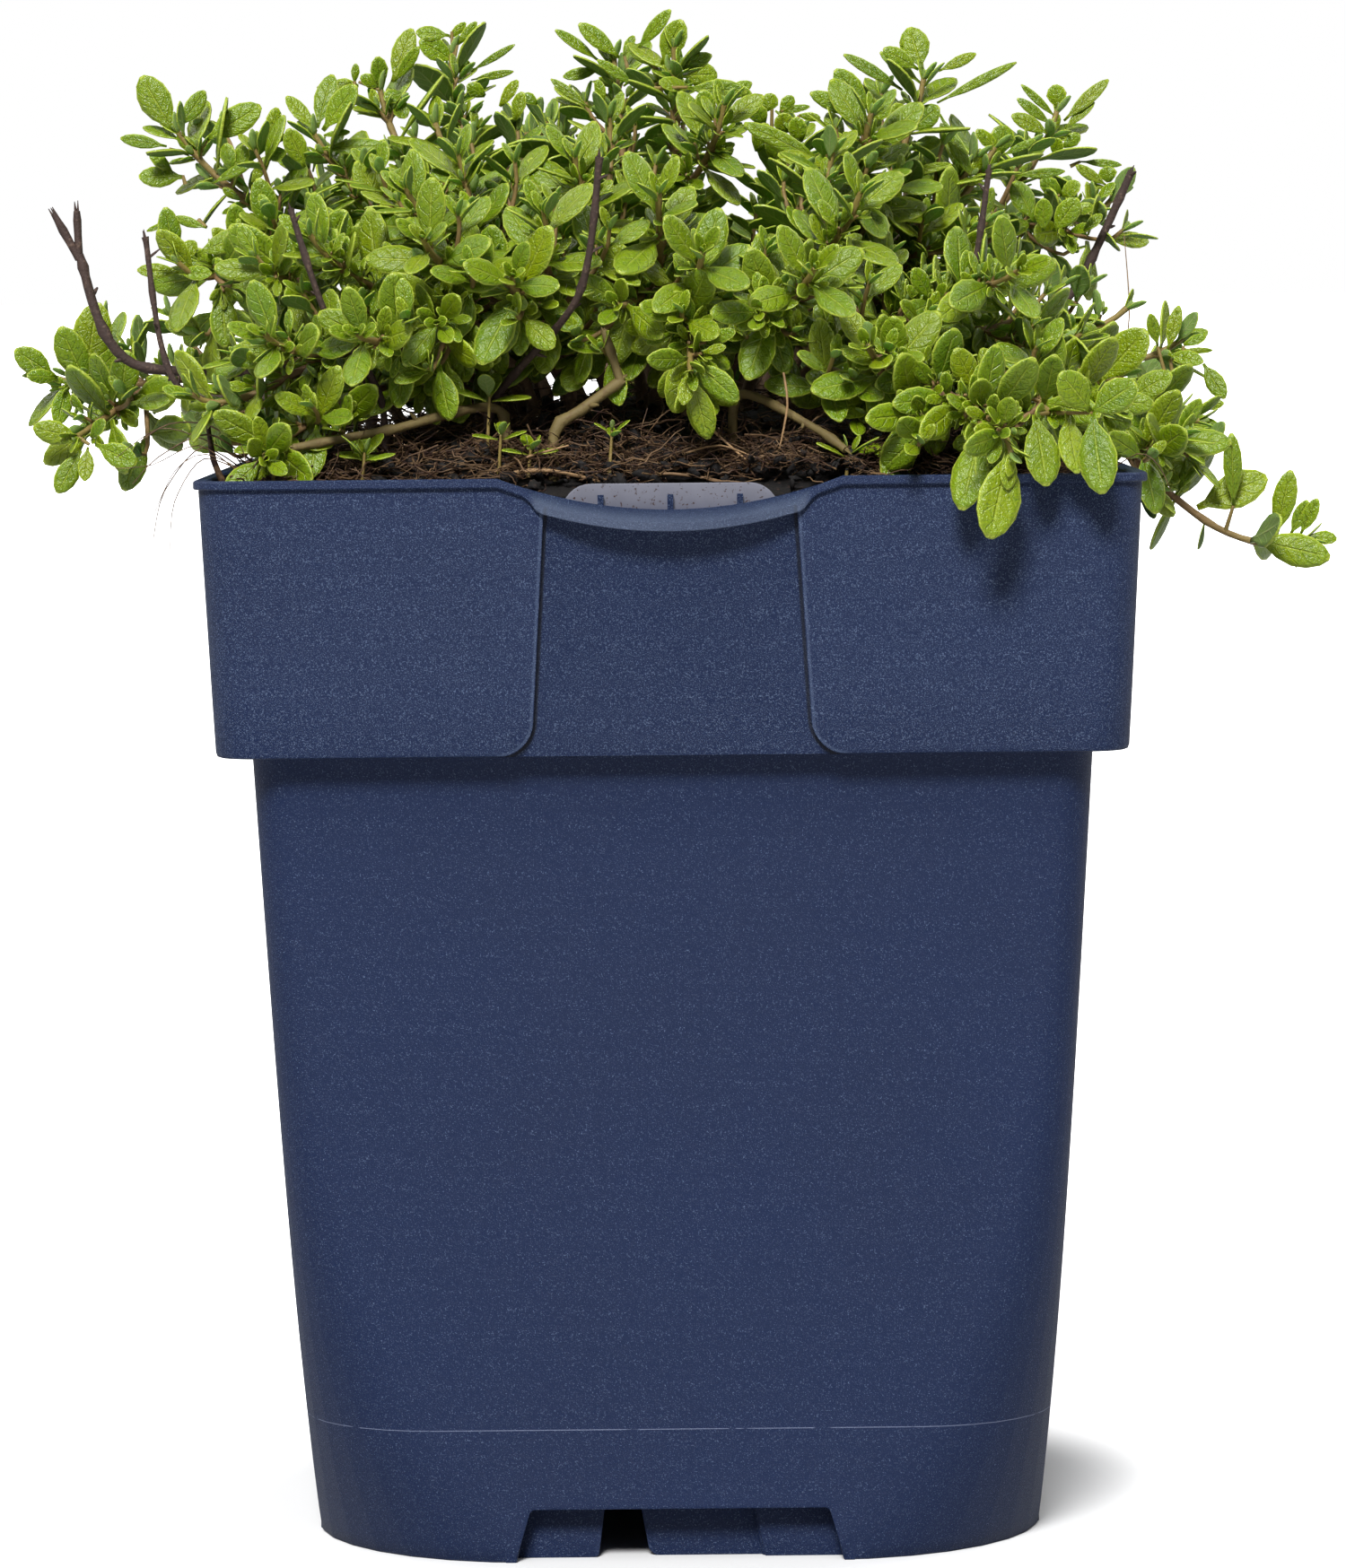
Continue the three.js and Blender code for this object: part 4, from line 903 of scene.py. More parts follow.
def leaf_under():
    bush = bpy.context.scene.thyme_bush

    def build(graph, shader):
        marks = graph.filled(leaf_group(), {"Veins": 5.0})
        hairs = graph.filled(grain_group(), {"Scale": 5200.0, "Coverage": 0.5})
        pale = graph.mix(graph.attribute("age"), opaque(bush.underside), paint(98, 124, 62))
        lines = graph.times(graph.math("MAXIMUM", marks["Midrib"], marks["Side veins"]), 0.45)
        veined = graph.mix(lines, pale, paint(176, 186, 120))
        colour = graph.mix(graph.times(hairs["Specks"], 0.2), veined, paint(190, 196, 160))
        height = graph.times(marks["Relief"], -1.0)
        sockets = {
            "Base Color": colour, "Roughness": 0.62, "Specular IOR Level": 0.3,
            "Subsurface Weight": 0.45, "Subsurface Radius": (0.6, 1.0, 0.2), "Subsurface Scale": 0.6 * MM,
        }
        dress(graph, shader, sockets, height, 0.6, 0.15)

    return surface("leaf_under", build)


def stem_skin():
    bush = bpy.context.scene.thyme_bush

    def build(graph, shader):
        age = graph.attribute("age")
        bark = graph.filled(grain_group(), {"Scale": 1500.0, "Coverage": 0.5})
        young = graph.mix(graph.step(age, 0.05, 0.5), opaque(bush.fresh), paint(142, 106, 76))
        colour = graph.mix(graph.step(age, 0.3, 0.75), young, opaque(bush.wood))
        flaky = graph.mix(graph.times(bark["Specks"], 0.4), colour, paint(172, 142, 104))
        dress(graph, shader, {"Base Color": flaky, "Roughness": 0.6}, bark["Relief"], 0.6, 0.2)

    return surface("stem_skin", build)


def dead_bark():
    def build(graph, shader):
        bark = graph.filled(grain_group(), {"Scale": 1300.0, "Coverage": 0.45})
        streaks = graph.noise(500.0, 4.0)
        dark = graph.mix(streaks, paint(38, 28, 26), paint(86, 66, 58))
        colour = graph.mix(graph.times(bark["Specks"], 0.35), dark, paint(132, 108, 92))
        dress(graph, shader, {"Base Color": colour, "Roughness": 0.75}, bark["Relief"], 0.8, 0.25)

    return surface("dead_bark", build)


def live_bark():
    def build(graph, shader):
        bark = graph.filled(grain_group(), {"Scale": 1100.0, "Coverage": 0.5})
        streaks = graph.noise(300.0, 4.0)
        tan = graph.mix(streaks, paint(82, 70, 38), paint(142, 124, 74))
        colour = graph.mix(graph.times(bark["Specks"], 0.35), tan, paint(92, 60, 40))
        dress(graph, shader, {"Base Color": colour, "Roughness": 0.7}, bark["Relief"], 0.7, 0.2)

    return surface("live_bark", build)


def damp_peat():
    ground = bpy.context.scene.thyme_ground

    def build(graph, shader):
        crumbs = graph.filled(grain_group(), {"Scale": 850.0, "Coverage": 0.36})
        patches = graph.noise(120.0, 5.0)
        dark = graph.mix(patches, opaque(ground.peat, 0.35), opaque(ground.peat, 1.25))
        colour = graph.mix(graph.times(crumbs["Specks"], 0.45), dark, opaque(ground.dry))
        rough = graph.math("SUBTRACT", 0.95, graph.times(patches, 0.25))
        dress(graph, shader, {"Base Color": colour, "Roughness": rough}, crumbs["Relief"], 0.9, 0.5)

    return surface("damp_peat", build)


def dry_root():
    ground = bpy.context.scene.thyme_ground

    def build(graph, shader):
        fleck = graph.noise(900.0, 3.0)
        tone = graph.mix(graph.attribute("age"), opaque(ground.root), paint(50, 26, 18))
        colour = graph.mix(graph.step(fleck, 0.45, 0.7), tone, opaque(ground.root, 0.5))
        dress(graph, shader, {"Base Color": colour, "Roughness": 0.65}, fleck, 0.4, 0.05)

    return surface("dry_root", build)


# ---- Pot ----------------------------------------------------------------------------------------


def body_half(z):
    return FOOT["half"] + FOOT["taper"] * z


def body_corner(z):
    return CORNER["top"] + CORNER["growth"] * max(0.0, 1 - z / COLLAR["bottom"]) ** CORNER["power"]


def collar_half(z):
    return COLLAR["low"] + COLLAR_LEAN * (z - COLLAR["bottom"])


def body_ring(z, inset=0.0):
    return body_half(z) - inset, body_corner(z) - inset, z


def collar_ring(z, inset=0.0):
    return collar_half(z) - inset, COLLAR["corner"] - inset, z


def dip_top(x):
    return RIM_Z - DIP["deep"] * max(0.0, 1 - (x / DIP["half"]) ** 2)


def ease(value):
    value = min(1.0, max(0.0, value))
    return value * value * (3 - 2 * value)


def lip_tall(x):
    return LIP["tall"] + (SCOOP["tall"] - LIP["tall"]) * ease((17 - abs(x)) / 2)


def lip_proud(x):
    return SCOOP["proud"] * max(0.0, 1 - (x / SCOOP["half"]) ** 2)


def pot_rings():
    """The chain of rings from under the floor, round the foot, up outside, over the rim and down inside."""
    bottom, low = COLLAR["bottom"], COLLAR["low"]
    foot = [body_ring(FOOT["ceiling"], FOOT["wall"]), body_ring(0, FOOT["wall"])]
    foot += [(43.9, 26.8, 0), body_ring(0.25)]
    body = [body_ring(z) for z in (2, 4, 7, 10, 13, 16, 20, 25, 30, 36, 43, 51, 60, 72, 84, bottom - 0.01)]
    collar = [(low - 0.55, 4.6, bottom), (low - 0.15, 4.9, bottom + 0.15), (low, 5, bottom + 0.6)]
    collar += [collar_ring(z) for z in (104, 112, BELOW_DIP, LIP_Z - 0.3)]
    corner = LIP["corner"]
    lip = [(54.85, 5.0, LIP_Z), (LIP_HALF - 0.1, corner, LIP_Z), (LIP_HALF, corner, LIP_Z + 0.15)]
    lip += [(LIP_HALF, corner, RIM_Z - 0.2), (LIP_HALF - 0.2, corner - 0.2, RIM_Z)]
    inner = collar_half(RIM_Z) - WALL
    rim = [(inner + 0.2, 4.0, RIM_Z), (inner, 3.8, RIM_Z - 0.2)]
    inside = [collar_ring(z, WALL) for z in (BELOW_DIP, 108, LEDGE_TOP)]
    inside += [body_ring(z, WALL) for z in (LEDGE_TOP - 0.01, 84, 60, 43, 30, 20, 12, FLOOR_TOP)]
    return foot, body, collar, lip, rim, inside


def dip_rim(shell, first):
    """Lowers the rim and draws out its lip, front and back; first is the number of the ring under the lip."""
    layer = shell.data.attributes["ring"].data
    shares = dict(zip(range(first, first + 8), (1, 1, 1, 1, 0.5, 0.5, 0, 0)))
    for vertex in shell.data.vertices:
        x, y, _ = vertex.co / MM
        number = layer[vertex.index].value
        if abs(x) >= DIP["half"] or abs(y) < 50 or number not in shares:
            continue
        drop = dip_top(x) - RIM_Z
        crease = ease((17.5 - abs(x)) / 2.5)
        sinks = {1: lip_tall(x) - LIP["tall"], 0.5: lip_tall(x) / 2 * crease, 0: 0.0}
        vertex.co.z += (drop - sinks[shares[number]]) * MM
        if first + 2 <= number <= first + 5:
            vertex.co.y += math.copysign(lip_proud(x), y) * MM


def cut_stations(shell):
    """Cuts the shell across where the dip bends, so that its rim can follow."""
    only(shell)
    bpy.ops.object.mode_set(mode="EDIT")
    for x in (1, 3, 5, 7, 9, 11, 12.5, 13.8, 14.8, 15.5, 16.3, 17.1, 18, 19, 20):
        for side in (-x, x):
            bpy.ops.mesh.select_all(action="SELECT")
            bpy.ops.mesh.bisect(plane_co=mm(side, 0, 0), plane_no=(1, 0, 0))
    bpy.ops.object.mode_set(mode="OBJECT")


def panel_cutter():
    """What the recess in the collar is cut with: its top follows the underside of the lip."""
    bottom = COLLAR["bottom"]
    xs = [PANEL["half_top"] * share for share in (1, 0.8, 0.6, 0.4, 0.2, 0, -0.2, -0.4, -0.6, -0.8, -1)]
    top = [(x, dip_top(x) - lip_tall(x) + 0.05) for x in xs]
    half, wide, below = PANEL["half_bottom"], PANEL["half_bottom"] + 6, bottom - 2
    foot = [(-half, bottom), (-wide, bottom), (-wide, below), (wide, below), (wide, bottom), (half, bottom)]
    rounds = [(-half, bottom, PANEL["round"]), (half, bottom, PANEL["round"])]
    return plate("panel_cutter", top + foot, COLLAR["low"] - PANEL["deep"], 60, rounds, COLLAR_LEAN)


def notch_cutter():
    low, high, top = NOTCH["half_bottom"] + 0.3, NOTCH["half_top"], FOOT["ceiling"] - 0.15
    outline = [(-low, -1), (low, -1), (high, top), (-high, top)]
    return plate("notch_cutter", outline, FOOT["half"] - 2.4, 60, [(-high, top, 0.5), (high, top, 0.5)])


def notch_panels():
    """The set-back panels of one drainage notch, with one open slot, and the returns at its ends."""
    low, high, over = NOTCH["half_bottom"], NOTCH["half_top"], FOOT["ceiling"] + WALL / 2
    front = FOOT["half"] - NOTCH["back"]
    panels = [
        ([(-low - 0.6, 0), (-9.7, 0), (-8.8, over), (-high - 0.6, over)], front, [(-9.7, 0, 0.5)]),
        ([(-3.6, 0), (10.4, 0), (9, over), (-4.9, over)], front - NOTCH["step"], [(-3.6, 0, 1.1)]),
        ([(9.8, 0), (10.8, 0), (9.5, over), (8.5, over)], front - NOTCH["step"] / 2, []),
        ([(10.1, 0), (low + 0.6, 0), (high + 0.6, over), (8.7, over)], front, []),
    ]
    pieces = [plate("notch_panel", outline, face - WALL, face, rounds) for outline, face, rounds in panels]
    for side in (-1, 1):
        below = [(side * (low - 0.15), 0), (side * (low + WALL), 0)]
        above = [(side * (high + WALL), over), (side * (high - 0.15), over)]
        pieces.append(plate("notch_return", below + above, front - WALL / 2, FOOT["half"] - 0.2))
    return joined(pieces, "notch_panels")


def label_tongue():
    """The tongue that a label hooks over, behind the dip in the rim, with its three ribs."""
    half, top, corner = TONGUE["half"], TONGUE["top"], TONGUE["round"]
    face = COLLAR["low"] - TONGUE["back"]
    outline = [(-half, LEDGE_TOP - 0.5), (half, LEDGE_TOP - 0.5), (half, top), (-half, top)]
    rounds = [(half, top, corner), (-half, top, corner)]
    tongue = plate("tongue", outline, face - TONGUE["thick"], face, rounds, COLLAR_LEAN)
    bpy.ops.object.mode_set(mode="EDIT")
    pick(tongue, "FACE", lambda f: f.normal.y < -0.9)
    bpy.ops.mesh.inset(thickness=0.7 * MM)
    bpy.ops.transform.translate(value=mm(0, 0.3, 0))
    bpy.ops.object.mode_set(mode="OBJECT")
    soften(tongue, 0.14, 50)
    give(tongue, dusty_lit_plastic())
    ribs = []
    for x in (-8.1, 0, 8.1):
        rib = [(x - 0.35, 119), (x + 0.35, 119), (x + 0.35, 126.9), (x - 0.35, 126.9)]
        ribs.append(plate("rib", rib, face - 0.5, face + 0.6, lean=COLLAR_LEAN))
        give(ribs[-1], moulded_plastic())
    return joined([tongue, *ribs], "tongue")


def make_pot():
    chain = pot_rings()
    shell = ring_shell("pot_shell", sum(chain, []))
    cut_stations(shell)
    foot, body, collar = chain[:3]
    dip_rim(shell, len(foot) + len(body) + len(collar))
    for side in (0, 180):
        cutter = panel_cutter()
        turn(cutter, side)
        cut(shell, cutter)
    for side in (0, 90, 180, 270):
        cutter = notch_cutter()
        turn(cutter, side)
        cut(shell, cutter)
    for x, y in ((0, 0), (1, 1), (-1, 1), (-1, -1), (1, -1)):
        deselect()
        place = mm(x * DRAIN["offset"], y * DRAIN["offset"], FLOOR_TOP)
        bpy.ops.mesh.primitive_cylinder_add(
            vertices=32, radius=DRAIN["radius"] * MM, depth=4 * MM, location=place
        )
        cut(shell, bpy.context.object)
    soften(shell, 0.18, 48)
    plastic = moulded_plastic()
    give(shell, plastic)
    parts = [shell]
    for side in (0, 90, 180, 270):
        panels = notch_panels()
        turn(panels, side)
        soften(panels, 0.15, 50)
        give(panels, plastic)
        parts.append(panels)
    for side in (0, 180):
        tongue = label_tongue()
        turn(tongue, side)
        parts.append(tongue)
    for part in parts:
        only(part)
        bpy.ops.object.shade_smooth_by_angle(angle=math.radians(32))
    pot = joined(parts, "moulded_pot")
    # Marks the scoop's lip for its painted sheen.
    handled = []
    for vertex in pot.data.vertices:
        x, y, z = vertex.co
        handled.append(float(abs(x) < 16 * MM and abs(y) > 55.3 * MM and z > 120 * MM))
    tag(pot.data, "handled", handled)
    finish_piece(pot, "pot", "pot")


# ---- Peat ---------------------------------------------------------------------------------------


def soil_top(x, y):
    """Height of the packed soil: a low mound with lumps."""
    half = SOIL["half"]
    out = min(1.0, (abs(x / half) ** 4 + abs(y / half) ** 4) ** 0.25)
    lumps = math.sin(0.31 * x + 1.3) * math.cos(0.27 * y + 0.6) + 0.7 * math.sin(0.53 * x - 0.47 * y)
    return SOIL["edge"] + SOIL["rise"] * (1 - out * out) + SOIL["lump"] * lumps * (1 - out**6)


def crust_top(x, y):
    """Height of the peat that shows: the soil's, with clods and crumbs on it."""
    clods = noise.fractal(Vector((x, y, 0)) * 0.2, 0.9, 2.1, 5)
    grit = noise.noise(Vector((x, y, 9)) * 1.0)
    return soil_top(x, y) + 0.8 + 2.0 * clods + 1.3 * grit


def make_crust():
    """The top of the peat, as a lid of its own on the packed soil."""
    steps = 160
    half = collar_half(SOIL["edge"]) - WALL - 0.15
    deselect()
    bpy.ops.mesh.primitive_grid_add(x_subdivisions=steps, y_subdivisions=steps, size=2 * half * MM)
    crust = bpy.context.object
    reach = half - (COLLAR["corner"] - WALL)
    for vertex in crust.data.vertices:
        x, y, _ = vertex.co / MM
        over = Vector((max(0.0, abs(x) - reach), max(0.0, abs(y) - reach)))
        if over.length > half - reach:
            over *= (half - reach) / over.length
            x, y = math.copysign(reach + over.x, x), math.copysign(reach + over.y, y)
        vertex.co = mm(x, y, crust_top(x, y))
    apply_modifier(crust, "SOLIDIFY", thickness=4 * MM, offset=-1)
    width, back = TONGUE["half"] + 0.4, COLLAR["low"] - TONGUE["back"] - TONGUE["thick"] - 0.2
    outline = [(-width, 110), (width, 110), (width, 145), (-width, 145)]
    for side in (0, 180):
        pocket = plate("pocket", outline, back, 60, lean=COLLAR_LEAN)
        turn(pocket, side)
        cut(crust, pocket)
    give(crust, damp_peat())
    only(crust)
    bpy.ops.object.shade_smooth_by_angle(angle=math.radians(60))
    crust.name = "peat_crust"
    finish_piece(crust, "peat")


def crumb_models():
    """Three rough lumps of peat, about 1 mm across."""
    models = []
    for number in range(3):
        deselect()
        bpy.ops.mesh.primitive_ico_sphere_add(subdivisions=2, radius=0.5 * MM)
        lump = bpy.context.object
        lump.name = f"crumb_model_{number}"
        bpy.ops.object.shade_smooth()
        for vertex in lump.data.vertices:
            vertex.co *= 1 + 0.9 * noise.noise(vertex.co / MM * 2.6 + Vector((number * 7, 0, 0)))
        give(lump, damp_peat())
        models.append(lump)
    return models


def fibre_models():
    """Four roots and straws, about 10 mm long: straight, bowed, kinked and curled."""
    models = []
    for number, bend in enumerate((0.3, 1.6, 2.6, 4.2)):
        draws = random.Random(40 + number)
        points = []
        for i in range(7):
            share = i / 6
            sway = bend * math.sin(math.pi * share) + draws.uniform(-0.25, 0.25)
            points.append(Vector((10 * share - 5, sway, draws.uniform(-0.2, 0.5))))
        radii = [0.13 * (1 - 0.5 * i / 6) for i in range(7)]
        fibre = tube(f"fibre_model_{number}", points, radii, 4)
        give(fibre, dry_root())
        models.append(fibre)
    return models


def on_soil(draws):
    """A place on the peat, clear of the walls and the tongues, and mostly out from under the bush."""
    half = LOOSE["half"]
    while True:
        x, y = draws.uniform(-half, half), draws.uniform(-half, half)
        if draws.random() < LOOSE["in_strip"]:
            y = draws.uniform(*LOOSE["strip"])
        clear = abs(y) < LOOSE["tongues"] or abs(x) > TONGUE["half"] + 1
        if clear and (max(abs(x), abs(y)) > LOOSE["covered"] or draws.random() < LOOSE["under_bush"]):
            return x, y


def scatter_ground():
    """Loose crumbs and fibres on the peat."""
    ground = bpy.context.scene.thyme_ground
    draws = random.Random(3)
    models = crumb_models()
    crumbs = []
    for _ in range(ground.crumbs):
        x, y = on_soil(draws)
        size = draws.uniform(0.4, 1.0) ** 2 * 2.1
        turned = Matrix.Rotation(draws.uniform(0, 6.3), 4, Vector((draws.random(), draws.random(), 1)))
        shape = Matrix.Diagonal((size * draws.uniform(1, 1.9), size * draws.uniform(0.5, 1), size * 0.6, 1))
        matrix = Matrix.Translation(mm(x, y, crust_top(x, y) + 0.15 * size)) @ turned @ shape
        crumbs.append(copy_of(draws.choice(models), matrix))
    finish_piece(joined(crumbs, "peat_crumbs"), "peat")
    discard(*models)
    scatter_fibres("roots_and_straws", ground.fibres, draws, (0.55, 1.25), 0.13)
    scatter_fibres("fine_roots", ground.fibres * 4 // 5, draws, (0.3, 0.8), 0.08)


def scatter_fibres(name, count, draws, thickness, darkness):
    """Roots and straws strewn over the peat: the lower the darkness's power, the more of them are dark."""
    models = fibre_models()
    fibres = []
    for _ in range(count):
        x, y = on_soil(draws)
        size = 0.2 + 0.75 * draws.random() ** 2
        reach = 5.5 * size
        near = 47.8 if abs(x) < TONGUE["half"] + 1 + reach else 52.2
        x, y = max(-52 + reach, min(52 - reach, x)), max(-near + 0.4 * reach, min(near - 0.4 * reach, y))
        spin = Matrix.Rotation(draws.uniform(0, math.tau), 4, "Z")
        spin @= Matrix.Rotation(draws.choice((0, math.pi)) + draws.uniform(-0.5, 0.5), 4, "X")
        slope = Matrix.Rotation(draws.gauss(0, 0.35), 4, "Y")
        lift = 0.25 + abs(slope[2][0]) * reach * 0.8
        thick = draws.uniform(*thickness)
        shape = Matrix.Diagonal((size, size, thick, 1))
        matrix = Matrix.Translation(mm(x, y, crust_top(x, y) + lift)) @ spin @ slope @ shape
        fibres.append(copy_of(draws.choice(models), matrix, age=draws.random() ** darkness))
    finish_piece(joined(fibres, name), "bark")
    discard(*models)


# What lies where the photograph shows it, from its first place to its last, with its half thickness and age.
LITTER = {
    "straw_long": ([(-20.5, -47, 129.6), (-17, -47, 131.2), (-11.8, -46.6, 132.6)], 0.2, 0.0),
    "root_pale": (
        [(-20, -47.5, 127.4), (-18.4, -47.6, 129.4), (-14, -47.6, 129.7), (-8.2, -47.3, 128.4)], 0.32, 0.1,
    ),
    "root_low": (
        [(-4.5, -47.5, 127.6), (-1, -47.2, 129.2), (4.4, -47, 128.6), (9, -46.5, 127.5)], 0.22, 0.5,
    ),
    "straw_right": ([(13.4, -44, 140.8), (13.8, -45, 136.9), (12.6, -46, 131)], 0.16, 0.1),
    "straw_low": ([(4.6, -44, 134.6), (7.4, -45.4, 132), (9.8, -46.2, 130)], 0.18, 0.0),
    "straw_cross": ([(1.5, -45, 131.4), (6, -45.6, 132.4), (11.6, -45.8, 130.2)], 0.14, 0.2),
    "stub_rim": ([(-51.8, -41, 127), (-53.6, -41.5, 131), (-54.4, -42, 137)], 0.42, 1.0),
    "hair_standing": ([(56.2, 4, 140), (57.4, 5, 147), (56.8, 5, 157)], 0.09, 0.2),
    "rim_hair_a": (
        [(-48, -42, 130), (-54, -43, 134.2), (-60, -43.5, 131.6), (-63, -43.5, 128.5)], 0.12, 0.85,
    ),
    "rim_hair_b": (
        [(-49, -40, 129), (-55, -40.5, 132.6), (-59.6, -40.5, 127.4), (-61, -40, 121.8)], 0.1, 0.85,
    ),
    "rim_hair_c": (
        [(-48.5, -44, 129), (-54.5, -45, 131.4), (-58, -45.6, 126.4), (-58.6, -45.8, 120.6)], 0.09, 0.85,
    ),
    "rim_hair_d": (
        [(-47, -38, 130), (-54, -38, 135), (-59, -38, 135.4), (-62.5, -37.6, 133.4)], 0.13, 0.85,
    ),
    "rim_hair_e": (
        [(-50, -45, 129.4), (-55, -46.5, 133), (-60.4, -47, 130.8), (-65, -47, 130.4)], 0.08, 0.85,
    ),
    "rim_hair_f": (
        [(-49, -36, 130), (-55, -36, 133.4), (-60.4, -35.6, 134.8), (-65.6, -35.4, 131.4)], 0.09, 0.85,
    ),
    "rim_hair_g": (
        [(-48, -47, 129), (-54, -48, 132), (-57.6, -48.6, 130.2), (-60.2, -49, 125)], 0.08, 0.85,
    ),
    "rim_hair_h": ([(50, -45, 128), (54.6, -47, 131), (57, -48, 129.6), (58.6, -48.5, 126)], 0.08, 0.85),
}


def lay_litter():
    """Roots, straws and hairs laid at the listed places."""
    strands = []
    for name, (places, radius, age) in LITTER.items():
        points = bent(places)
        last = len(points) - 1
        radii = []
        for i, point in enumerate(points):
            radii.append(radius * (1 - 0.55 * (i / last) ** 2) * (1 + 0.15 * noise.noise(point)))
        strand = tube(name, points, radii)
        tag(strand.data, "age", [age] * len(strand.data.vertices))
        give(strand, dry_root())
        strands.append(strand)
    finish_piece(joined(strands, "laid_litter"), "bark")


# ---- Leaves and stems ---------------------------------------------------------------------------


def leaf_model(name, form):
    """One leaf, 10 mm long from its stalk at the origin along +Y, facing +Z, a few dozen faces."""
    outline, spine = (SMALL_ROWS, SMALL_COLUMNS) if name.endswith("small") else (LEAF_ROWS, LEAF_COLUMNS)
    rows, columns = len(outline) - 1, len(spine) - 1
    deselect()
    bpy.ops.mesh.primitive_grid_add(x_subdivisions=columns, y_subdivisions=rows, size=MM)
    leaf = bpy.context.object
    leaf.name = name
    half = LEAF_LENGTH * form["width"] / 2
    for vertex in leaf.data.vertices:
        across = spine[round((vertex.co.x / MM + 0.5) * columns)]
        share, spread = outline[round((vertex.co.y / MM + 0.5) * rows)]
        blade = ease((share - 0.05) / 0.3)
        x = across * spread * half
        rise = form["fold"] * abs(x) - form["roll"] * half * across**4 * spread * blade
        puff = 0.25 * math.sin(math.pi * abs(across)) * blade * (1 - share)
        vertex.co = mm(x, LEAF_LENGTH * share, rise + puff - form["droop"] * LEAF_LENGTH * share**2 * 0.5)
    for loop, uv in zip(leaf.data.loops, leaf.data.uv_layers[0].data):
        uv.uv.y = leaf.data.vertices[loop.vertex_index].co.y / (LEAF_LENGTH * MM)
    give(leaf, leaf_top(), leaf_under())
    apply_modifier(
        leaf, "SOLIDIFY", thickness=LEAF_THICK * MM, offset=-1, material_offset=1, material_offset_rim=0
    )
    bpy.ops.object.shade_smooth()
    return leaf


def bezier(bends, t):
    a, b, c, d = bends
    u = 1 - t
    return a * u**3 + b * (3 * u * u * t) + c * (3 * u * t * t) + d * t**3


class Route:
    """A stem's line, known by the distance along it."""

    STEPS = 60

    def __init__(self, bends):
        self.bends = bends
        self.dense = [bezier(bends, i / self.STEPS) for i in range(self.STEPS + 1)]
        self.far = [0.0]
        for a, b in zip(self.dense, self.dense[1:]):
            self.far.append(self.far[-1] + (b - a).length)
        self.length = self.far[-1]

    def at(self, distance):
        distance = min(max(distance, 0.0), self.length)
        i = 1
        while i < self.STEPS and self.far[i] < distance:
            i += 1
        share = (distance - self.far[i - 1]) / max(1e-9, self.far[i] - self.far[i - 1])
        return self.dense[i - 1].lerp(self.dense[i], share)

    def heading(self, distance):
        return (self.at(distance + 0.5) - self.at(distance - 0.5)).normalized()

    def sides(self, distance):
        """Two directions square to the line, carried along it without twist."""
        side = Vector((0.6, 0.8, 0))
        steps = max(2, int(distance / 2))
        for i in range(steps + 1):
            along = self.heading(distance * i / steps)
            side = (side - along * side.dot(along)).normalized()
        return side, along.cross(side)


def aim_of(shoot):
    if "aim" in shoot:
        return Vector(shoot["aim"]).normalized()
    return ((Vector(shoot["tip"]) - FAN_CENTRE).normalized() + 0.4 * UP).normalized()


def main_route(root, shoot):
    tip = Vector(shoot["tip"])
    span = (tip - root).length
    outward = Vector((tip.x - root.x, tip.y - root.y, 0)).normalized()
    rising = (UP + outward * shoot.get("lean", 0.35)).normalized()
    second = tip - aim_of(shoot) * shoot.get("reach", span * 0.33)
    return Route((root, root + rising * shoot.get("rise", span * 0.38), second, tip))


def fork_route(main, at, fork):
    start = bezier(main.bends, at)
    along = (bezier(main.bends, at + 1e-3) - bezier(main.bends, at - 1e-3)).normalized()
    tip = Vector(fork["tip"])
    span = (tip - start).length
    return Route((start, start + along * span * 0.3, tip - aim_of(fork) * span * 0.35, tip))


def stations(length, pairs):
    """Where a packed stem's rings stand."""
    backs = [back for back in PAIR_BACKS[:pairs] if back < length * 0.72][::-1]
    low = length - backs[0] - NODE_HALF
    bare = max(1, round(low / INTERNODE))
    marks = [low * i / bare for i in range(bare)]
    for back in backs:
        marks += [length - back - NODE_HALF, length - back + NODE_HALF]
    return marks


class Repeat:
    """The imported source's seeded draws."""

    def __init__(self, value):
        self.seed = value * 7919 + 17

    def draw(self, low, high):
        self.seed = (self.seed * 1664525 + 1013904223) % 4294967296
        return low + (high - low) * self.seed / 4294967296


def far_shoots():
    """The shoots of the far half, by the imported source's rule."""
    shoots = []
    for i in range(FAR["count"]):
        low, high = math.sin(math.radians(FAR["lowest"])), math.sin(math.radians(FAR["highest"]))
        sine = low + (high - low) * (i + 0.5) / FAR["count"]
        azimuth = math.radians(FAR["first"] + i * FAR["golden"] % 360 / 360 * FAR["sweep"])
        reach = Repeat(500 + i).draw(0.95, 1.04)
        level = math.sqrt(1 - sine * sine) * FAR["across"] * reach
        z = FAR["base"] + sine * FAR["up"] * reach
        shoot = {"tip": (level * math.cos(azimuth), level * math.sin(azimuth), z)}
        if i % 2 == 0:
            beside = azimuth + (FAR["fork_turn"] if i % 4 else -FAR["fork_turn"])
            fork_z = max(z - FAR["fork_drop"], RIM_Z + 4)
            shoot["fork"] = {"tip": (level * math.cos(beside), level * math.sin(beside), fork_z)}
        shoots.append(shoot)
    return shoots


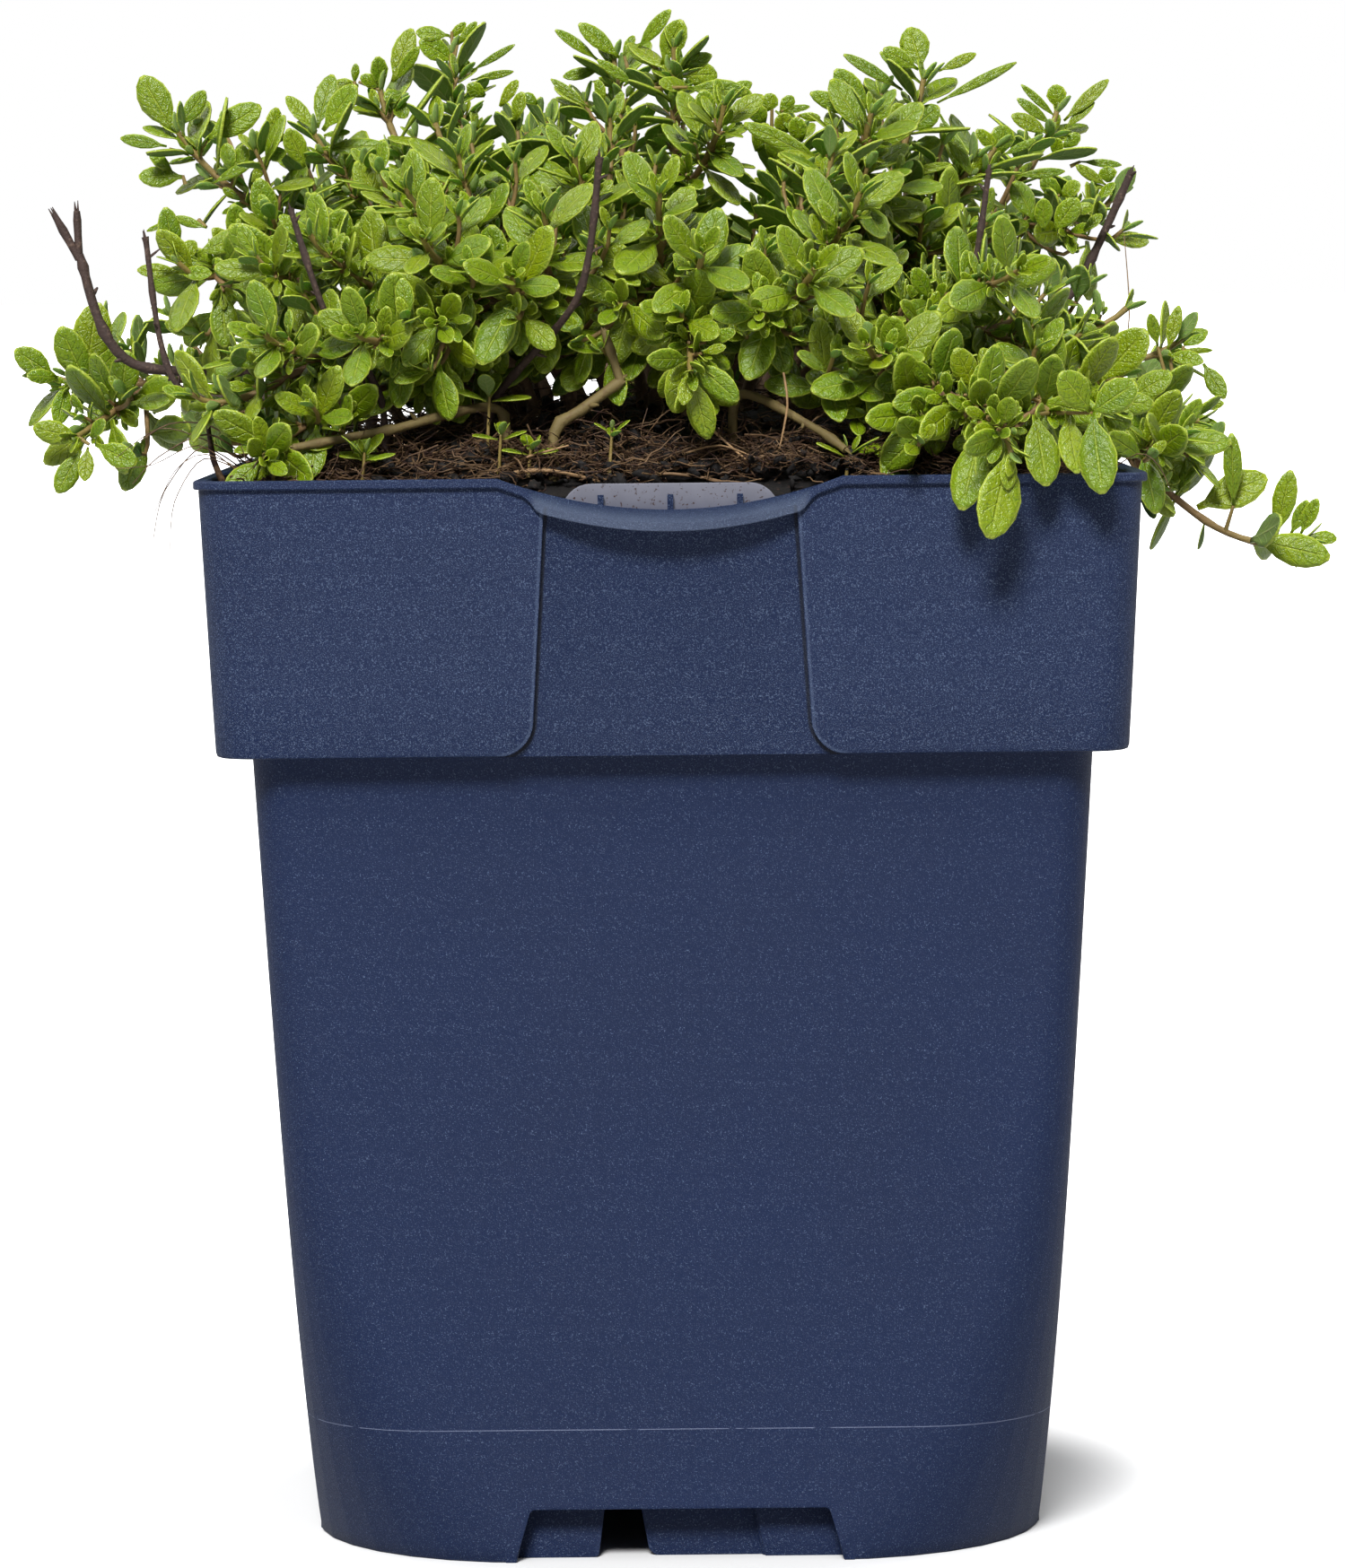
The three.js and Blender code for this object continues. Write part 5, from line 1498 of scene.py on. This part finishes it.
def packed_shape(node):
    """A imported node's corners in millimetres, once each, and each corner's neighbours."""
    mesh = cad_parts[node].data
    numbers, corners, of = {}, [], []
    for vertex in mesh.vertices:
        key = tuple(vertex.co)
        if key not in numbers:
            numbers[key] = len(corners)
            corners.append(vertex.co / MM)
        of.append(numbers[key])
    near = [set() for _ in corners]
    for edge in mesh.edges:
        a, b = (of[i] for i in edge.vertices)
        if a != b:
            near[a].add(b)
            near[b].add(a)
    return corners, near


def packed_leaves(corners, near):
    """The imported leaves, found by their pointed tips: base, tip, the way each faces, and width."""
    leaves = []
    for tip, around in enumerate(near):
        if len(around) != 3:
            continue
        keel = max(around, key=lambda k: len(near[k]))
        shoulders = around - {keel}
        if len(near[keel]) < 6 or not shoulders <= near[keel]:
            continue
        rest = near[keel] - shoulders - {tip}
        widest = [k for k in rest if near[k] & shoulders]
        foot = [k for k in rest if k not in widest]
        if len(widest) != 2 or len(foot) < 2:
            continue
        base = sum((corners[k] for k in foot), Vector()) / len(foot)
        left, right = (corners[k] for k in widest)
        if (left - right).length > 7 or not 3 < (corners[tip] - base).length < 12:
            continue
        ahead = (corners[tip] - base).normalized()
        facing = (left + right) / 2 - corners[keel]
        facing = (facing - ahead * facing.dot(ahead)).normalized()
        leaves.append({"base": base, "tip": corners[tip], "facing": facing, "width": (left - right).length})
    return leaves


class Bush:
    """Places leaves, and keeps them from crowding each other."""

    CELL = 3.0

    def __init__(self):
        self.models = {name: leaf_model(f"leaf_model_{name}", form) for name, form in LEAF_FORMS.items()}
        self.twig = tube("twig_model", [Vector((0, 0, z)) for z in (0, 0.5, 1)], [1, 0.85, 0.7])
        give(self.twig, stem_skin())
        self.cells = {}
        self.draws = random.Random(bpy.context.scene.thyme_bush.seed)
        noise.seed_set(bpy.context.scene.thyme_bush.seed + 1)  # seed 0 would follow the clock
        self.pieces = []

    def crowded(self, place, room):
        key = tuple(int(c // self.CELL) for c in place)
        for dx in (-1, 0, 1):
            for dy in (-1, 0, 1):
                for dz in (-1, 0, 1):
                    for other in self.cells.get((key[0] + dx, key[1] + dy, key[2] + dz), ()):
                        if (other - place).length < room:
                            return True
        return False

    def fits(self, base, ahead, length):
        """True where a leaf is clear of the soil, the pot's wall, the clearings and other leaves."""
        if in_clearing(base + ahead * length):
            return False
        for share in (0.4, 0.75, 1):
            x, y, z = base + ahead * (length * share)
            out = max(abs(x), abs(y))
            if out < ROOM["peat_half"] and z < crust_top(x, y) + ROOM["peat"]:
                return False
            if ROOM["rim_inside"] < out < ROOM["rim_outside"] and z < RIM_Z + ROOM["rim"]:
                return False
        return not self.crowded(base + ahead * (length * 0.6), min(2.6, 0.3 * length))

    def leaf(self, base, ahead, facing, length, age, width=None, form=None):
        draws = self.draws
        if form is None:
            grown = draws.choice(("broad", "oval", "oval")) if age < 0.6 else "old"
            form = "small" if length < 4.2 else "young" if age < 0.12 else grown
        model = self.models[form]
        ahead = ahead.normalized()
        right = ahead.cross(facing).normalized()
        facing = right.cross(ahead)
        grow = length / LEAF_LENGTH
        spread = grow if width is None else width / (LEAF_LENGTH * LEAF_FORMS[form]["width"])
        matrix = Matrix.Identity(4)
        for column, (axis, size) in enumerate(((right, spread), (ahead, grow), (facing, grow))):
            for row in range(3):
                matrix[row][column] = axis[row] * size
            matrix[column][3] = base[column] * MM
        tint = draws.random() ** 2 * 0.5
        self.pieces.append(copy_of(model, matrix, age=min(1.0, max(0.0, age)), tint=tint))
        centre = base + ahead * (length * 0.6)
        self.cells.setdefault(tuple(int(c // self.CELL) for c in centre), []).append(centre)

    def small_twig(self, start, end, radius, age):
        along = end - start
        turned = along.to_track_quat("Z", "Y").to_matrix().to_4x4()
        shape = Matrix.Diagonal((radius, radius, along.length, 1))
        matrix = Matrix.Translation(start * MM) @ turned @ shape
        self.pieces.append(copy_of(self.twig, matrix, age=age, tint=0.0))

    def pair(self, centre, along, out, length, pitch, age, keep=1.0):
        """Two leaves on opposite sides of a stem."""
        placed = []
        for side in (1, -1):
            if self.draws.random() > keep:
                continue
            size = length * self.draws.uniform(0.85, 1.12)
            lean = math.radians(pitch + self.draws.uniform(-9, 9))
            swing = Matrix.Rotation(self.draws.uniform(-0.3, 0.3), 3, along)
            away = swing @ (out * side)
            ahead = along * math.cos(lean) + away * math.sin(lean)
            facing = along * math.sin(lean) - away * math.cos(lean)
            light = (centre - FAN_CENTRE).normalized() + 0.7 * UP + TOWARDS_LIGHT * 0.5
            facing = (facing + light * 0.35).normalized()
            base = centre + away * 0.35
            if self.fits(base, ahead, size):
                self.leaf(base, ahead, facing, size, age)
                placed.append((base, away))
        return placed

    def bud(self, route, age=0.0):
        """The closed young leaves at a stem's tip."""
        tip, along = route.at(route.length), route.heading(route.length)
        side, other = route.sides(route.length)
        for out, length, pitch in ((side, 1.6, 10), (other, 3.0, 26)):
            for way in (1, -1):
                lean = math.radians(pitch)
                ahead = along * math.cos(lean) + out * (way * math.sin(lean))
                facing = along * math.sin(lean) - out * (way * math.cos(lean))
                self.leaf(tip - along * 0.4, ahead, facing, length, age, form="small")

    def tuft(self, base, along, away, size, age):
        """A young side shoot above a leaf's stalk."""
        draws = self.draws
        heading = (along * 0.8 + away * draws.uniform(0.5, 0.9) + UP * 0.25).normalized()
        reach = size * draws.uniform(0.25, 0.6)
        end = base + heading * reach
        if not self.fits(end, heading, size * 0.6):
            return
        self.small_twig(base, end, 0.26, age + 0.15)
        side = heading.cross(away)
        side = side.normalized() if side.length > 1e-3 else UP
        other = heading.cross(side)
        self.pair(end - heading * reach * 0.45, heading, side, size * 0.85, 50, age + 0.12)
        self.pair(end, heading, other, size * 0.7, 34, age + 0.04)
        self.pair(end + heading * 0.2, heading, side, size * 0.38, 14, 0.0)

    def clothe(self, route, backs, sizes, level, age, tufts):
        """Leaf pairs down a stem from its tip, each a quarter turn from the last, with tufts above them."""
        for number, (back, size) in enumerate(zip(backs, sizes)):
            distance = route.length - back
            if distance < route.length * 0.2:
                break
            centre, along = route.at(distance), route.heading(distance)
            side, other = route.sides(distance)
            out = side if (number + level) % 2 else other
            older = age + 0.05 * number + back * 0.012
            keep = 1.0 if back < 12 else 0.86
            pitch = 30 + min(50, 9 * back**0.75)
            for base, away in self.pair(centre, along, out, size, pitch, older, keep):
                if tufts and self.draws.random() < tufts and back > 3:
                    self.tuft(base, along, away, self.draws.uniform(2.8, 5.2), older * 0.35)

    def side_twig(self, route, distance, out, length, age):
        """A leafy twig out of a stem."""
        start, along = route.at(distance), route.heading(distance)
        heading = (along * 0.7 + out * 0.75 + UP * 0.35).normalized()
        end = start + heading * length
        reach = (route.at(route.length) - FAN_CENTRE).length - 3
        if (end - FAN_CENTRE).length > reach or not self.fits(end - heading * 2, heading, 3.5):
            return
        light = ((end - FAN_CENTRE).normalized() + 0.5 * UP).normalized()
        second = start + (along + out).normalized() * length * 0.35
        twig = Route((start, second, end - light * length * 0.3, end))
        points = [twig.at(twig.length * i / 7) for i in range(8)]
        radii = [0.36 - 0.015 * i for i in range(8)]
        self.stem(points, radii, age + 0.2, age)
        self.bud(twig)
        backs = [0.7, 2.6, 5.6, 9.4, 13.6]
        self.clothe(twig, backs, [4.4, 6.0, 7.0, 7.0, 6.6], 0, age, 0.3)

    def stem(self, points, radii, low_age, high_age):
        piece = tube("stem", points, radii)
        give(piece, stem_skin())
        tree = KDTree(len(points))
        for i, point in enumerate(points):
            tree.insert(point * MM, i)
        tree.balance()
        last = len(points) - 1
        ages = [low_age + (high_age - low_age) * tree.find(v.co)[1] / last for v in piece.data.vertices]
        tag(piece.data, "age", ages)
        tag(piece.data, "tint", [0.0] * len(ages))
        self.pieces.append(piece)

    def knotty(self, route, base, tip, peg=None):
        """A stem's points and half thicknesses, a little swollen where leaves grow."""
        count = max(8, int(route.length / 1.6))
        points, radii = [], []
        for i in range(count + 1):
            share = i / count
            place = route.at(route.length * share)
            wobble = noise.noise_vector(place * 0.22) * 0.28 * math.sin(math.pi * share)
            points.append(place + wobble)
            radii.append((base + (tip - base) * share) * (1.16 if i % 4 == 0 else 0.97))
        if peg:
            points.insert(0, peg)
            radii.insert(0, base)
        return points, radii


def shoot_routes(node, shoot):
    """The lines of a packed shoot, from the root that its node shows."""
    corners, near = packed_shape(node)
    within = [corner for corner in corners if max(abs(corner.x), abs(corner.y)) < 50]
    peg = sum(sorted(within, key=lambda corner: corner.z)[:4], Vector()) / 4
    ground = peg.z + PEG
    main = main_route(Vector((peg.x, peg.y, ground + START)), shoot)
    fork = None
    if "fork" in shoot:
        tree = KDTree(len(corners))
        for i, corner in enumerate(corners):
            tree.insert(corner, i)
        tree.balance()

        def misfit(route):
            marks = stations(route.length, FORK_PAIRS)[1:]
            return sum(tree.find(route.at(mark))[2] for mark in marks) / len(marks)

        fork = min((fork_route(main, at, shoot["fork"]) for at in FORK_STARTS), key=misfit)
    return corners, near, peg, main, fork


def in_clearing(place):
    return any(left < place.x < right and low < place.z < high for left, right, low, high in CLEARINGS)


def add_sprig(bush, sprig):
    """The listed leaves, each facing the camera's side, and the twigs they stand on."""
    for start, end in sprig["twigs"]:
        bush.small_twig(Vector(start), Vector(end), 0.3, 0.15)
    for base, tip, width in sprig["leaves"]:
        ahead = Vector(tip) - Vector(base)
        facing = Vector((bush.draws.uniform(-0.35, 0.35), -1, bush.draws.uniform(0, 0.5)))
        bush.leaf(Vector(base), ahead, facing, ahead.length, bush.draws.uniform(0.05, 0.4), width)


def refine_leaves(bush, leaves, tips, hanging, among):
    """A finer leaf for each packed one, but for those in a clearing or among the listed leaves."""
    for leaf in leaves:
        ahead = leaf["tip"] - leaf["base"]
        if in_clearing(leaf["tip"]) or (among and bush.crowded(leaf["base"] + ahead * 0.6, 2.4)):
            continue
        back = min((leaf["tip"] - tip).length for tip in tips)
        age = min(0.8, back * 0.04)
        size = bush.draws.uniform(0.76, 1.0)
        if ahead.z < -5:
            size *= hanging
        facing = leaf["facing"] + TOWARDS_LIGHT * 0.5
        bush.leaf(leaf["base"], ahead, facing, ahead.length * size, age, leaf["width"] * size * 0.92)


def fill_in(bush, route, hanging):
    """Young tufts and side twigs along a stem: only twigs, on top and near its root, where it hangs."""
    for back in TUFT_BACKS:
        distance = route.length - back
        if distance <= 4 or hanging:
            continue
        side, other = route.sides(distance)
        for away in (side, -side, other, -other):
            if bush.draws.random() < 0.45:
                size = bush.draws.uniform(2.8, 5.0)
                bush.tuft(route.at(distance), route.heading(distance), away, size, 0.1)
    for share in TWIG_SHARES:
        distance = route.length * share
        side, other = route.sides(distance)
        angle = bush.draws.uniform(0, math.tau)
        out = side * math.cos(angle) + other * math.sin(angle)
        if hanging and (out.z < 0.3 or share > 0.5):
            continue
        bush.side_twig(route, distance, out, bush.draws.uniform(6, 13) + 5 * (share < 0.3), 0.2)


def grow_shoot(bush, node, shoot, level):
    """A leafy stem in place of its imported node: its packed leaves refined, and finer growth between them."""
    tufts = bpy.context.scene.thyme_bush.tufts
    corners, near, peg, main, fork = shoot_routes(node, shoot)
    routes = [route for route in (main, fork) if route]
    bush.pieces = []
    sprig = SPRIGS.get(int(node[-2:]), {"twigs": [], "leaves": []})
    add_sprig(bush, sprig)
    tips = [route.at(route.length) for route in routes]
    refine_leaves(bush, packed_leaves(corners, near), tips, shoot.get("hanging", 1.0), sprig["leaves"])
    bush.stem(*bush.knotty(main, 0.74, 0.36, peg), 1.0, 0.05)
    bush.bud(main)
    backs, sizes = LOWER_BACKS, LOWER_SIZES
    if fork:
        bush.stem(*bush.knotty(fork, 0.54, 0.34), 0.6, 0.05)
        bush.bud(fork)
        bush.clothe(fork, [9.5, 12.5] + backs, [7.4, 7.6] + sizes, level, 0.2, tufts)
        backs, sizes = [9.5, 13] + backs, [7.2, 7.6] + sizes
    bush.clothe(main, backs, sizes, level + 1, 0.25, tufts)
    for route in routes:
        fill_in(bush, route, "hanging" in shoot)
    finish_piece(joined(bush.pieces, f"fine_{node}"), "leaf", node)


def make_shoots():
    bush = Bush()
    for number, shoot in enumerate([*SHOOTS, *far_shoots()]):
        grow_shoot(bush, f"thyme_shoot_{number + 1:02d}", shoot, number % 2)
    plant_seedlings(bush)
    discard(*bush.models.values(), bush.twig)


def bent(places):
    """A stem's line through a few places, rounded where it bends."""
    places = [Vector(place) for place in places]
    points = []
    for i in range(len(places) - 1):
        before = places[max(i - 1, 0)]
        after = places[min(i + 2, len(places) - 1)]
        a, b = places[i], places[i + 1]
        steps = max(3, int((b - a).length / 1.2))
        bends = (a, a + (b - before) / 7, b - (after - a) / 7, b)
        points += [bezier(bends, k / steps) for k in range(steps)]
    return points + [places[-1]]


def make_bare_stem(stem):
    """A bare stem with knots, and splinters at its broken end."""
    draws = random.Random(stem["name"])
    half = stem["half"]
    x, y, _ = stem["route"][0]
    places = [(x, y, soil_top(x, y) - PEG), *stem["route"]]
    lines = [(bent(places), half, half * 0.8)]
    lines += [(bent(prong), half * 0.75, half * 0.55) for prong in stem.get("prongs", [])]
    pieces = []
    for points, low, high in lines:
        radii = []
        for i, point in enumerate(points):
            share = i / (len(points) - 1)
            knot = 1.3 if i % 6 == 3 else 1.0
            radii.append((low + (high - low) * share) * knot * (1 + 0.12 * noise.noise(point * 0.8)))
        pieces.append(tube("bare", points, radii, 8))
        for i in range(6, len(points) - 1, 6):
            along = (points[i + 1] - points[i - 1]).normalized()
            out = along.orthogonal().normalized()
            out.rotate(Matrix.Rotation(draws.uniform(0, math.tau), 3, along))
            end = points[i] + (out * 0.8 + along * 0.5) * draws.uniform(1.0, 2.0)
            line = [points[i], points[i].lerp(end, 0.6), end]
            pieces.append(tube("stub", line, [low * 0.5, low * 0.4, low * 0.2]))
        for _ in range(3):
            off = Vector([draws.uniform(-0.4, 0.4) * half for _ in range(3)])
            top = points[-1] + off + (points[-1] - points[-2]).normalized() * draws.uniform(0.3, 1.0)
            line = [points[-2] + off * 0.4, points[-1] + off * 0.8, top]
            pieces.append(tube("splinter", line, [high * 0.5, high * 0.4, 0.05], 4))
    piece = joined(pieces, f"fine_{stem['name']}")
    give(piece, live_bark() if stem["name"] in LIVE_WOOD else dead_bark())
    finish_piece(piece, "bark", stem["name"])


# Young plants between the stems: where each stands, how high it grows and how long its leaves are.
SEEDLINGS = [
    ((-20.1, -46), 134.2, 3.0), ((-16.6, -46.4), 132.4, 3.6), ((-7.1, -46.6), 134.4, 2.6),
    ((20.6, -46), 131.6, 4.6), ((25.4, -47), 131.0, 5.4), ((-21.5, -41), 138.6, 5.0),
    ((-36, -47), 132.0, 4.2), ((-46.5, -48.6), 130.4, 6.0), ((10, 44), 134, 4.0),
    ((-24, 45), 133.4, 4.4), ((44, 30), 134, 4.2), ((-46, 12), 134, 4.0),
]


def plant_seedlings(bush):
    """Young plants, each of three pairs of leaves."""
    bush.pieces = []
    for (x, y), height, size in SEEDLINGS:
        foot = Vector((x, y, crust_top(x, y) - 1))
        top = Vector((x + 0.4, y - 0.3, max(height, foot.z + 3)))
        bush.small_twig(foot, top, 0.24, 0.1)
        along = (top - foot).normalized()
        turned = Matrix.Rotation(bush.draws.uniform(0, 3), 3, "Z")
        side, other = turned @ Vector((1, 0, 0)), turned @ Vector((0, 1, 0))
        levels = ((0.8, side, 1.0, 72), (0.25, other, 0.85, 55), (0.0, side, 0.45, 25))
        for lower, out, share, pitch in levels:
            bush.pair(top - along * lower, along, out, size * share, pitch, 0.15 * share)
    finish_piece(joined(bush.pieces, "seedlings"), "leaf")


# ---- Stage --------------------------------------------------------------------------------------


def make_camera():
    stage = bpy.context.scene.thyme_stage
    deselect()
    bpy.ops.object.camera_add(location=(0, -stage.distance, stage.height))
    camera = bpy.context.object
    look = Matrix.Rotation(math.pi / 2 - stage.tilt, 4, "X") @ Matrix.Rotation(stage.roll, 4, "Z")
    camera.matrix_world = Matrix.Translation(camera.location) @ look
    camera.data.lens = stage.lens
    camera.data.sensor_width = 36
    camera.data.sensor_fit = "HORIZONTAL"
    camera.data.clip_start = 0.01
    bpy.context.scene.camera = camera


def make_sun(bearing, height, strength, softness):
    """A broad far light: its bearing, clockwise from the camera's side, and its height, in degrees."""
    stage = bpy.context.scene.thyme_stage
    deselect()
    bpy.ops.object.light_add(type="SUN", location=(0, -stage.distance, 1))
    sun = bpy.context.object
    level, tall = math.radians(bearing), math.radians(height)
    towards = Vector((-math.sin(level) * math.cos(tall), math.cos(level) * math.cos(tall), -math.sin(tall)))
    sun.rotation_euler = towards.to_track_quat("-Z", "Y").to_euler()
    sun.data.energy = strength
    sun.data.angle = math.radians(softness)


def make_floor():
    stage = bpy.context.scene.thyme_stage
    deselect()
    bpy.ops.mesh.primitive_plane_add(size=400)
    floor = bpy.context.object
    floor.name = "studio_floor"

    def build(graph, shader):
        seen = graph.add("LightPath").outputs["Is Camera Ray"]
        colour = graph.mix(seen, opaque(stage.floor, 0.5), opaque(stage.floor))
        place = graph.add("TexCoord").outputs["Object"]
        away = graph.add("VectorMath", {0: place}, operation="LENGTH").outputs["Value"]
        glow = graph.times(graph.step(away, 50 * MM, 82 * MM), seen)
        sockets = {"Base Color": colour, "Roughness": 0.9, "Specular IOR Level": 0.0}
        dress(graph, shader, {**sockets, "Emission Color": glow, "Emission Strength": 1.0})

    give(floor, surface("studio_floor", build))


def make_world():
    """White to the camera, and a dimmer, even light on everything else."""
    world = bpy.data.worlds.new("studio")
    bpy.context.scene.world = world
    world.use_nodes = True
    graph = Graph(world.node_tree)
    seen = graph.add("LightPath").outputs["Is Camera Ray"]
    strength = graph.math("MULTIPLY_ADD", seen, 0.94, 0.06)
    background = world.node_tree.nodes["Background"]
    background.inputs["Color"].default_value = (1, 1, 1, 1)
    world.node_tree.links.new(strength, background.inputs["Strength"])


def make_stage():
    make_camera()
    make_sun(-9, 42, 3.55, 16)
    make_sun(0, 62, 0.7, 50)
    make_sun(-125, 40, 0.85, 40)
    make_sun(125, 40, 0.85, 40)
    make_floor()
    make_world()
    bpy.context.scene.view_settings.view_transform = "Standard"


# ---- Operators and panel ------------------------------------------------------------------------


class THYME_OT_stage(bpy.types.Operator):
    """Set up the camera, the lights and the floor"""

    bl_idname = "thyme.stage"
    bl_label = "Stage"

    def execute(self, context):
        make_stage()
        return {"FINISHED"}


class THYME_OT_pot(bpy.types.Operator):
    """Mould the pot with its collar, dipped rim, label tongues and notched foot"""

    bl_idname = "thyme.pot"
    bl_label = "Pot"

    def execute(self, context):
        make_pot()
        return {"FINISHED"}


class THYME_OT_peat(bpy.types.Operator):
    """Lay the crust of peat on the packed soil"""

    bl_idname = "thyme.peat"
    bl_label = "Peat"

    def execute(self, context):
        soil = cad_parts["potting_soil"]
        give(soil, damp_peat())
        make_crust()
        return {"FINISHED"}


class THYME_OT_litter(bpy.types.Operator):
    """Scatter crumbs, roots and straws on the peat"""

    bl_idname = "thyme.litter"
    bl_label = "Crumbs and Roots"

    def execute(self, context):
        scatter_ground()
        lay_litter()
        return {"FINISHED"}


class THYME_OT_shoots(bpy.types.Operator):
    """Grow the leafy shoots"""

    bl_idname = "thyme.shoots"
    bl_label = "Leafy Shoots"

    def execute(self, context):
        make_shoots()
        return {"FINISHED"}


class THYME_OT_bare_stems(bpy.types.Operator):
    """Make the bare and broken stems"""

    bl_idname = "thyme.bare_stems"
    bl_label = "Bare Stems"

    def execute(self, context):
        for stem in BARE_STEMS:
            make_bare_stem(stem)
        return {"FINISHED"}


STEPS = (THYME_OT_stage, THYME_OT_pot, THYME_OT_peat, THYME_OT_litter, THYME_OT_shoots, THYME_OT_bare_stems)
SETTINGS = {
    "thyme_pot": PotSettings,
    "thyme_bush": BushSettings,
    "thyme_ground": GroundSettings,
    "thyme_stage": StageSettings,
}


class THYME_PT_panel(bpy.types.Panel):
    """The steps that build the potted thyme, with their settings"""

    bl_idname = "THYME_PT_panel"
    bl_label = "Potted Thyme"
    bl_space_type = "VIEW_3D"
    bl_region_type = "UI"
    bl_category = "Thyme"

    def draw(self, context):
        for step in STEPS:
            self.layout.operator(step.bl_idname)
        for name, group in SETTINGS.items():
            box = self.layout.box()
            for setting in group.__annotations__:
                box.prop(getattr(context.scene, name), setting)


def register():
    for group in (*SETTINGS.values(), *STEPS, THYME_PT_panel):
        bpy.utils.register_class(group)
    for name, group in SETTINGS.items():
        setattr(bpy.types.Scene, name, PointerProperty(type=group))


def unregister():
    for name in SETTINGS:
        delattr(bpy.types.Scene, name)
    for group in (THYME_PT_panel, *reversed(STEPS), *SETTINGS.values()):
        bpy.utils.unregister_class(group)


def main():
    register()
    bpy.ops.thyme.stage()
    bpy.ops.thyme.pot()
    bpy.ops.thyme.peat()
    bpy.ops.thyme.litter()
    bpy.ops.thyme.shoots()
    bpy.ops.thyme.bare_stems()
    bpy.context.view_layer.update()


if __name__ == "__main__":
    main()
